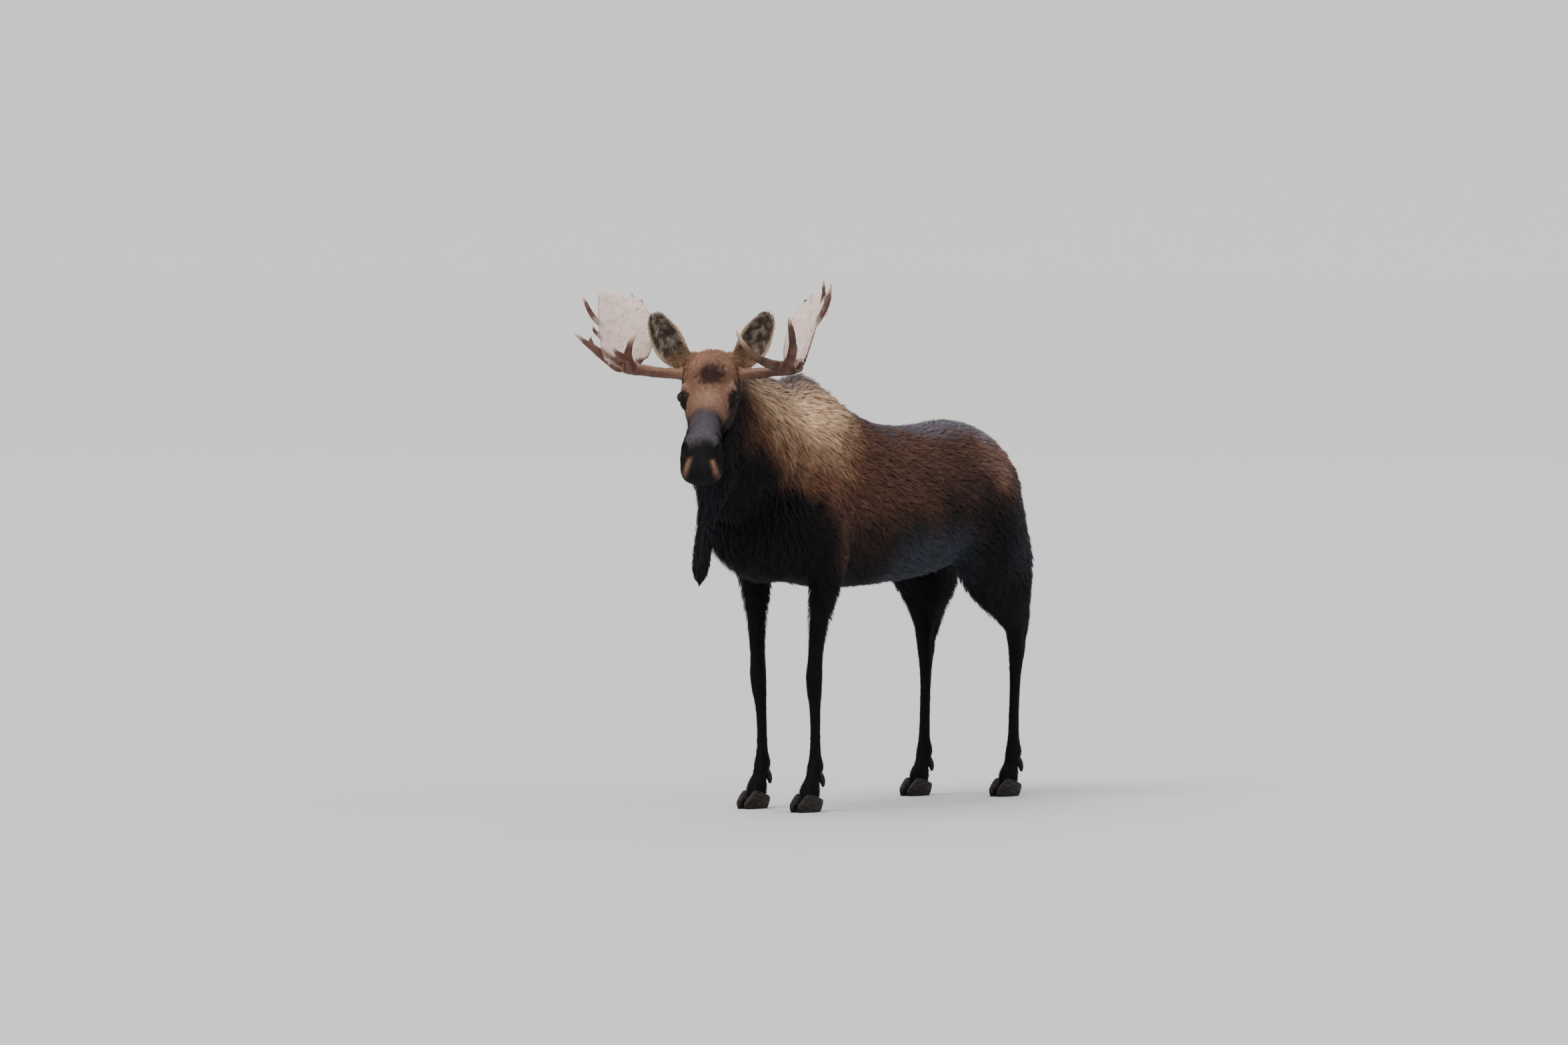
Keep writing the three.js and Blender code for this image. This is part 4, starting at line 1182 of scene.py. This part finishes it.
def coat_of(points, normals):
    """Length, width, angle of stand and lie of the hair on the skin, each blended from zone to zone."""
    _, y, z = body_places(points).T
    below = np.interp(y, *RIDGE) - z
    head_depth, neck_depth = from_planes(points)
    along, left, depth = head_places(points).T
    outward = ear_depth(points)
    hump = smoothstep(y, -400, -150) * (1 - smoothstep(y, 250, 560)) * (1 - smoothstep(below, 80, 330))
    under = smoothstep(-normals[:, 2], 0.1, 0.8)
    front = smoothstep(-y, 80, 330)
    on_neck = smoothstep(neck_depth, -140, 120)
    on_leg = 1 - smoothstep(z, 700, 1040)
    on_head_share = smoothstep(head_depth, -50, 60)
    hanging = smoothstep(head_depth, -60, 20) * (1 - smoothstep(z, 1500, 1600))
    hanging = hanging * (1 - smoothstep((points - CROWN) @ forward, 220, 290))
    on_tail = smoothstep(y, 1545, 1575)

    # Lengths, in millimetres.
    length = 50 + 18 * hump + 12 * under + 16 * front
    length += (70 - length) * on_neck
    of_leg = np.interp(z, (60, 110, 200, 300, 650, 800, 1050), (26, 24, 19, 14, 19, 28, 50))
    length += (of_leg - length) * on_leg
    of_head = np.interp(along, (-60, 40, 120, 250, 420, 600, 720), (20, 18, 15, 12, 9.5, 7.5, 5.5))
    of_head += 9 * smoothstep(-depth, 110, 190) * (1 - smoothstep(along, 380, 640))
    of_head += 26 * smoothstep(-depth, 230, 310) * (1 - smoothstep(along, 350, 600))
    length += (of_head - length) * on_head_share
    of_bell = np.interp(z, (1020, 1080, 1200, 1450, 1600), (12, 26, 38, 50, 60))
    length += (of_bell - length) * hanging
    length += (44 - length) * on_tail

    # Angles of stand, in degrees.
    stand = 14 + 3 * front
    stand += (9 - stand) * on_leg
    stand += (np.interp(along, (-60, 60, 160, 300), (26, 26, 20, 12)) - stand) * on_head_share
    stand += (13 - stand) * hanging

    # Lie: back and down on the body, down on the legs and bell, and away from a whorl on the forehead.
    down = smoothstep(below, 10, 330)
    slope = np.interp(y, (-400, 200, 500, 1000, 1400), (1.1, 0.95, 0.5, 0.45, 1.3))
    lie = np.stack([0 * y, 1 - 0.75 * front * down, -(slope + 1.2 * front) * down], 1)
    lie = paint(lie, np.array([-0.16, 0.85, -0.35]) + np.stack([0 * y, 0 * y, -0.55 * down], 1), on_neck)
    lie = paint(lie, np.array([0, 0.12, -1.0]), on_leg)
    sideward = smoothstep(np.abs(left), 55, 105)
    from_whorl = np.clip((along - 130) / 60, -1, 1)
    face_lie = from_whorl[:, None] * noseward + (0.25 * np.sign(left) * (1 - sideward))[:, None] * leftward
    cheek_lie = 0.25 * noseward - 0.9 * faceward - 0.2 * forward
    face_lie = paint(face_lie, plain(cheek_lie, points), sideward * (1 - smoothstep(along, 520, 640)))
    lie = paint(lie, face_lie, on_head_share)
    beneath = on_head_share * smoothstep(-depth, 250, 300) * (1 - smoothstep(along, 520, 620))
    lie = paint(lie, np.array([0, 0, -1.0]), np.maximum(hanging, beneath))
    lie = paint(lie, np.array([0, 0.35, -1.0]), on_tail)

    # The ears' hair is short, lies toward the tip, and inside the ear leans in from the rim.
    chosen = np.flatnonzero(outward > -30)
    if len(chosen):
        share, _ = ear_places(points[chosen])
        sign = np.sign((points[chosen] - CROWN) @ leftward)[:, None]
        tipward = sign * math.sin(EAR_LEAN) * leftward + math.cos(EAR_LEAN) * UP
        outward_rim = sign * math.cos(EAR_LEAN) * leftward - math.sin(EAR_LEAN) * UP
        inward = -np.sign(share)[:, None] * outward_rim
        facing = smoothstep(normals[chosen] @ forward, -0.1, 0.3)
        grown = smoothstep(outward[chosen], -30, 20)
        rim = smoothstep(np.abs(share), 0.74, 0.86)
        of_ear = 13 + 7 * facing * (1 - rim) - 5 * rim
        length[chosen] += (of_ear - length[chosen]) * grown
        stand[chosen] += (12 + 10 * facing * (1 - rim) - stand[chosen]) * grown
        lie[chosen] = paint(lie[chosen], tipward + inward * (0.5 * facing * (1 - rim))[:, None], grown)

    swirl = 0.16 * np.stack([ripple(points, 260, seed) for seed in (41, 42, 43)], 1)
    swirl += 0.10 * np.stack([ripple(points, 70, seed) for seed in (44, 45, 46)], 1)
    lie = unit(lie) + swirl
    lie = unit(lie - normals * dot(lie, normals))
    width = np.clip(0.05 * length, 0.9, 3.2)
    return length, width, np.radians(stand), lie


# ---- Coat: locks of hair --------------------------------------------------------------------------
# Each tuft is a thin blade of three triangles, rooted just under the skin. Neighbours lean together into
# locks, which differ in tone.
PIECES = ["trunk_left_front", "trunk_right_front", "trunk_left_rear", "trunk_right_rear",
          "neck_left", "neck_right", "head_left", "head_right", "bell", "ears", "tail",
          *(f"leg_{foot}" for foot in FEET)]
kinds = np.array([name.split("_")[0] for name in PIECES])
HAIR = {
    # size of a lock, layers of hair over the skin, how far tips gather into their lock
    "trunk": (18, 3.4, 0.55),
    "neck": (20, 4.2, 0.6),
    "head": (7, 1.75, 0.35),
    "bell": (16, 3.4, 0.65),
    "ears": (8, 1.8, 0.4),
    "tail": (15, 3.0, 0.5),
    "leg": (12, 1.5, 0.35),
}
lock_sizes, covers, gathers = np.array([HAIR[kind] for kind in kinds]).T


def neck_middle(y):
    """How far left the neck's middle line lies at y."""
    return np.interp(-y, (0, 715), (0, 170))


def piece_of(points):
    """The number in PIECES of the coat piece that each point belongs to."""
    trunk, neck, head, bell, ears, tail, leg = (int(np.argmax(kinds == kind)) for kind in HAIR)
    out, y, z = body_places(points).T
    x = points[:, 0]
    head_depth, neck_depth = from_planes(points)
    right_half = np.where(x > 0, 0, 1)
    number = trunk + right_half + np.where(y > 560, 2, 0)
    number = np.where(neck_depth > 0, neck + np.where(x > neck_middle(y), 0, 1), number)
    number = np.where((y > 1545) & (out < 60) & (z < 1560), tail, number)
    number = np.where(z < 900, leg + right_half + np.where(y > 600, 2, 0), number)
    of_head = head + np.where((points - CROWN) @ leftward > 0, 0, 1)
    number = np.where(head_depth > 0, np.where(z < 1540, bell, of_head), number)
    return np.where(ear_depth(points) > 0, ears, number)


def unwrapped(points, normals, number):
    """Places from 0 to 1 on an unwrap: how far along each piece's line, and the angle about it."""
    x, y, z = points.T
    along, left, depth = head_places(points).T
    beside, ahead, _ = crown_places(points).T
    out, even_y, _ = body_places(points).T
    foot_y = np.where(even_y > 600, 1440, 0)
    kind = kinds[number]
    by_kind = [kind == name for name in ("trunk", "neck", "head", "bell", "tail", "leg")]
    run = np.select(by_kind, [(y + 450) / 2100, (-y + 150) / 900, (along + 150) / 980, (z - 980) / 600,
                              (z - 1280) / 320, (z + 10) / 1000])
    turn = np.select(by_kind, [
        np.arctan2(x, z - 1300),
        np.arctan2(x - neck_middle(y), z - 1600),
        np.arctan2(left, depth + 140),
        np.arctan2(beside, ahead - 90),
        np.arctan2(x, y - 1575),
        np.arctan2(out - FOOT_SPREAD, even_y - foot_y),
    ])
    u, v = run, turn / (2 * np.pi) + 0.5
    ear = np.flatnonzero(kind == "ears")
    if len(ear):
        share, far = ear_places(points[ear])
        side = np.where(beside[ear] > 0, 0.5, 0.0)
        face = np.where(normals[ear] @ forward > 0, 0.25, 0.0)
        u[ear], v[ear] = far, side + face + 0.125 + 0.11 * np.clip(share, -1, 1)
    return np.clip(np.stack([u, v], 1), 0.003, 0.997)


# How many tufts grow on a square millimetre: the layers wanted over the area that one tuft hides. None
# grow on the hooves' edge, the eyelids and the nostrils.
SHORT, SHORT_COVER = 20, 1.6
TUFT_SHARE = 0.62
HOOF_EDGE = 40
BARE = [
    # along, left, out, radius
    [674, 66, -92, 15],
    [696, 76, -112, 18],
    [716, 82, -134, 14],
]
corners = triangles_of(skin)
spots, facing_out = points_of(skin), normals_of(skin)
middles = spots[corners].mean(axis=1)
mean_facing = unit(facing_out[corners].mean(axis=1))
first_edge, second_edge = (spots[corners[:, k]] - spots[corners[:, 0]] for k in (1, 2))
areas = np.linalg.norm(np.cross(first_edge, second_edge), axis=1) / 2
length, width, _, _ = coat_of(middles, mean_facing)
cover = covers[piece_of(middles)]
cover = np.where(length < SHORT, np.minimum(cover, SHORT_COVER), cover)
density = cover / (TUFT_SHARE * length * width)
density[middles[:, 2] < HOOF_EDGE] = 0
for sign in SIDES.values():
    apart = middles - eye_centre(sign)
    reach = np.linalg.norm(apart, axis=1)
    density[(reach < 25.5) | ((reach < 32) & (apart @ look_axes(sign)[0] > 0.6 * reach))] = 0
    for along, left, out, radius in BARE:
        density[np.linalg.norm(middles - on_head((along, sign * left, out)), axis=1) < radius] = 0

# Roots are dealt out evenly by how much hair each triangle of skin carries.
source = np.random.default_rng(11)
heap = np.cumsum(areas * density)
count = int(heap[-1])
dealt = (np.arange(count) + source.uniform(0, 1, count)) / count
owner = np.searchsorted(heap, dealt * heap[-1] * 0.999999)
first, second = source.uniform(0, 1, (2, count))
flip = first + second > 1
first, second = np.where(flip, 1 - first, first), np.where(flip, 1 - second, second)
weights = np.stack([1 - first - second, first, second], 1)[..., None]
roots = (spots[corners[owner]] * weights).sum(axis=1)
normals = unit((facing_out[corners[owner]] * weights).sum(axis=1))
length, width, stand, lie = coat_of(roots, normals)
number = piece_of(roots)
print("tufts", count)

# A lock is a small warped cell of space. Its tufts' tips gather toward one place.
cell = lock_sizes[number]
warp = np.stack([ripple(roots, 55, seed) for seed in (51, 52, 53)], 1)
box = np.floor(roots / cell[:, None] + 0.45 * warp).astype(np.int64)
key = ((box[:, 0] * 73856093) ^ (box[:, 1] * 19349663) ^ (box[:, 2] * 83492791)) * 16 + number
_, lock, size = np.unique(key, return_inverse=True, return_counts=True)


def lock_mean(values):
    """The mean of values over each lock, given back to every tuft of the lock."""
    sums = np.stack([np.bincount(lock, weights=column) for column in values.T], 1)
    return (sums / size[:, None])[lock]


source = np.random.default_rng(12)
lock_random = source.normal(size=(len(size), 4))[lock]
own = source.normal(size=(count, 4))
length = length * np.clip(1 + 0.16 * own[:, 0] + 0.12 * lock_random[:, 0], 0.5, 1.5)
stand = stand * np.clip(1 + 0.3 * own[:, 1] + 0.12 * lock_random[:, 1], 0.2, 1.8)
across = np.cross(lie, normals)
lie = unit(lie + across * (0.10 * own[:, 2] + 0.16 * lock_random[:, 2])[:, None])
rise = length * np.sin(stand)
run = length * np.cos(stand)
tips = roots + lie * run[:, None] + normals * rise[:, None]
lock_lie, lock_normal = unit(lock_mean(lie)), unit(lock_mean(normals))
lock_tip = lock_mean(roots) + lock_lie * lock_mean(run[:, None]) * (1 + 0.12 * lock_random[:, 3:4])
lock_tip += lock_normal * lock_mean(rise[:, None])
tips = tips + (lock_tip - tips) * gathers[number][:, None] * np.clip(1 - 0.15 * np.abs(own[:, 3:4]), 0.4, 1)
bent = roots + (tips - roots) * 0.52 + normals * (0.16 * rise + 0.03 * length)[:, None]
roots = roots - normals * 1.0 - lie * 0.5
flat = unit(np.cross(tips - roots, normals) + normals * (0.3 * own[:, 2])[:, None])

# Tufts that would reach over an eyeball are left out.
keep = np.full(count, True)
for sign in SIDES.values():
    for place in (bent, tips):
        apart = place - eye_centre(sign)
        reach = np.linalg.norm(apart, axis=1)
        keep &= ~((reach < 30) & (apart @ look_axes(sign)[0] > 0.3 * reach))
blades = np.stack([
    roots - flat * (width / 2)[:, None], roots + flat * (width / 2)[:, None],
    bent - flat * (width * 0.42)[:, None], bent + flat * (width * 0.42)[:, None], tips], 1)
blades[..., 2] = np.maximum(blades[..., 2], 2)

# Tone: each tuft takes the colour of a place near its root, darker at the root and paler at the tip.
astray = roots + lie * (0.25 * length * own[:, 0])[:, None] + across * (0.15 * length * own[:, 1])[:, None]
tone = markings(astray, normals) * np.exp(0.14 * own[:, 3:4] + 0.17 * lock_random[:, 1:2])
shades = np.stack([tone * 0.66, tone * 0.66, tone, tone, tone * 1.22 + 0.003], 1)
place = unwrapped(roots, normals, number)
patch = np.array([[-0.0012, -0.0015], [0.0012, -0.0015], [-0.001, 0], [0.001, 0], [0, 0.0015]])
fur = shaded("fur", 0.65, specular=0.13, grain=(90, 90, 90), fleck=0.12)
for index, name in enumerate(PIECES):
    chosen = np.flatnonzero(keep & (number == index))
    first = (np.arange(len(chosen)) * 5)[:, None]
    faces = (first + np.array([[0, 1, 3, 0, 3, 2, 2, 3, 4]])).reshape(-1, 3)
    piece = make_piece(f"coat_{name}", blades[chosen].reshape(-1, 3), [faces])
    give_colours(piece, np.clip(shades[chosen].reshape(-1, 3), 0.002, 1))
    bake = piece.data.uv_layers.new(name="OFBake")
    spread_uv = (place[chosen][:, None] + patch[None]).reshape(-1, 2)
    bake.uv.foreach_set("vector", spread_uv[faces.ravel()].astype(np.float32).ravel())
    piece.data.materials.append(fur)
    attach(piece, "root")
    print(name, len(chosen) * 3)


# ---- Floor, light and camera ----------------------------------------------------------------------
# A plain pale floor that sweeps up far behind, broad soft daylight, and a long lens far off to the
# animal's left front.
FLAT_WITHIN = 66
FLOOR = [
    # radius, height, in metres
    [0.01, 0], [20, 0], [45, 0], [58, 0], [66, 1.2], [73, 5], [78, 11], [81, 19], [82, 30],
]
turns = np.linspace(0, 2 * np.pi, 120, endpoint=False)[None]
radius, height = through(FLOOR, np.linspace(0, 1, 60)).T[..., None]
height[radius < FLAT_WITHIN] = 0
rings = np.stack([radius * np.cos(turns), radius * np.sin(turns), np.maximum(height, 0) + 0 * turns], -1)
quads = ring_quads(*rings.shape[:2])[:, ::-1]
floor = make_piece("floor", (rings.reshape(-1, 3) - PLACE) / MILLIMETRE, [quads])
paper = bpy.data.materials.new("floor")
paper.use_nodes = True
paper_shader = paper.node_tree.nodes["Principled BSDF"]
paper_shader.inputs["Base Color"].default_value = (0.66, 0.65, 0.64, 1)
paper_shader.inputs["Roughness"].default_value = 0.95
paper_shader.inputs["Specular IOR Level"].default_value = 0.1
floor.data.materials.append(paper)


def daylight(name, azimuth, elevation, spread_angle, strength, colour):
    """A very broad sun that shines from azimuth and elevation, in degrees."""
    light = bpy.data.lights.new(name, "SUN")
    light.angle, light.energy, light.color = math.radians(spread_angle), strength, colour
    lamp = bpy.data.objects.new(name, light)
    lamp.rotation_euler = (math.pi / 2 - math.radians(elevation), 0, math.radians(azimuth))
    bpy.context.scene.collection.objects.link(lamp)


daylight("key", -8, 56, 40, 2.6, (1.0, 0.97, 0.92))
daylight("fill", 100, 35, 70, 0.9, (0.9, 0.95, 1.0))
daylight("rim", 215, 50, 60, 1.1, (0.92, 0.96, 1.0))
world = bpy.data.worlds.new("studio")
world.use_nodes = True
world.node_tree.nodes["Background"].inputs["Color"].default_value = (0.82, 0.86, 0.92, 1)
world.node_tree.nodes["Background"].inputs["Strength"].default_value = 0.6
bpy.context.scene.world = world

CAMERA_AZIMUTH = math.radians(38)
CAMERA_ELEVATION = math.radians(2)
CAMERA_DISTANCE = 45
FRAME_WIDTH = 6.918
aim = np.array([0, 0, 1270]) * MILLIMETRE + PLACE
lens = bpy.data.cameras.new("camera")
lens.sensor_width = 36
lens.lens = 36 * CAMERA_DISTANCE / FRAME_WIDTH
lens.clip_end = 400
camera = bpy.data.objects.new("camera", lens)
camera.location = aim + CAMERA_DISTANCE * np.array([
    math.sin(CAMERA_AZIMUTH) * math.cos(CAMERA_ELEVATION),
    -math.cos(CAMERA_AZIMUTH) * math.cos(CAMERA_ELEVATION),
    math.sin(CAMERA_ELEVATION)])
camera.rotation_euler = (math.pi / 2 - CAMERA_ELEVATION, 0, CAMERA_AZIMUTH)
bpy.context.scene.collection.objects.link(camera)
bpy.context.scene.camera = camera
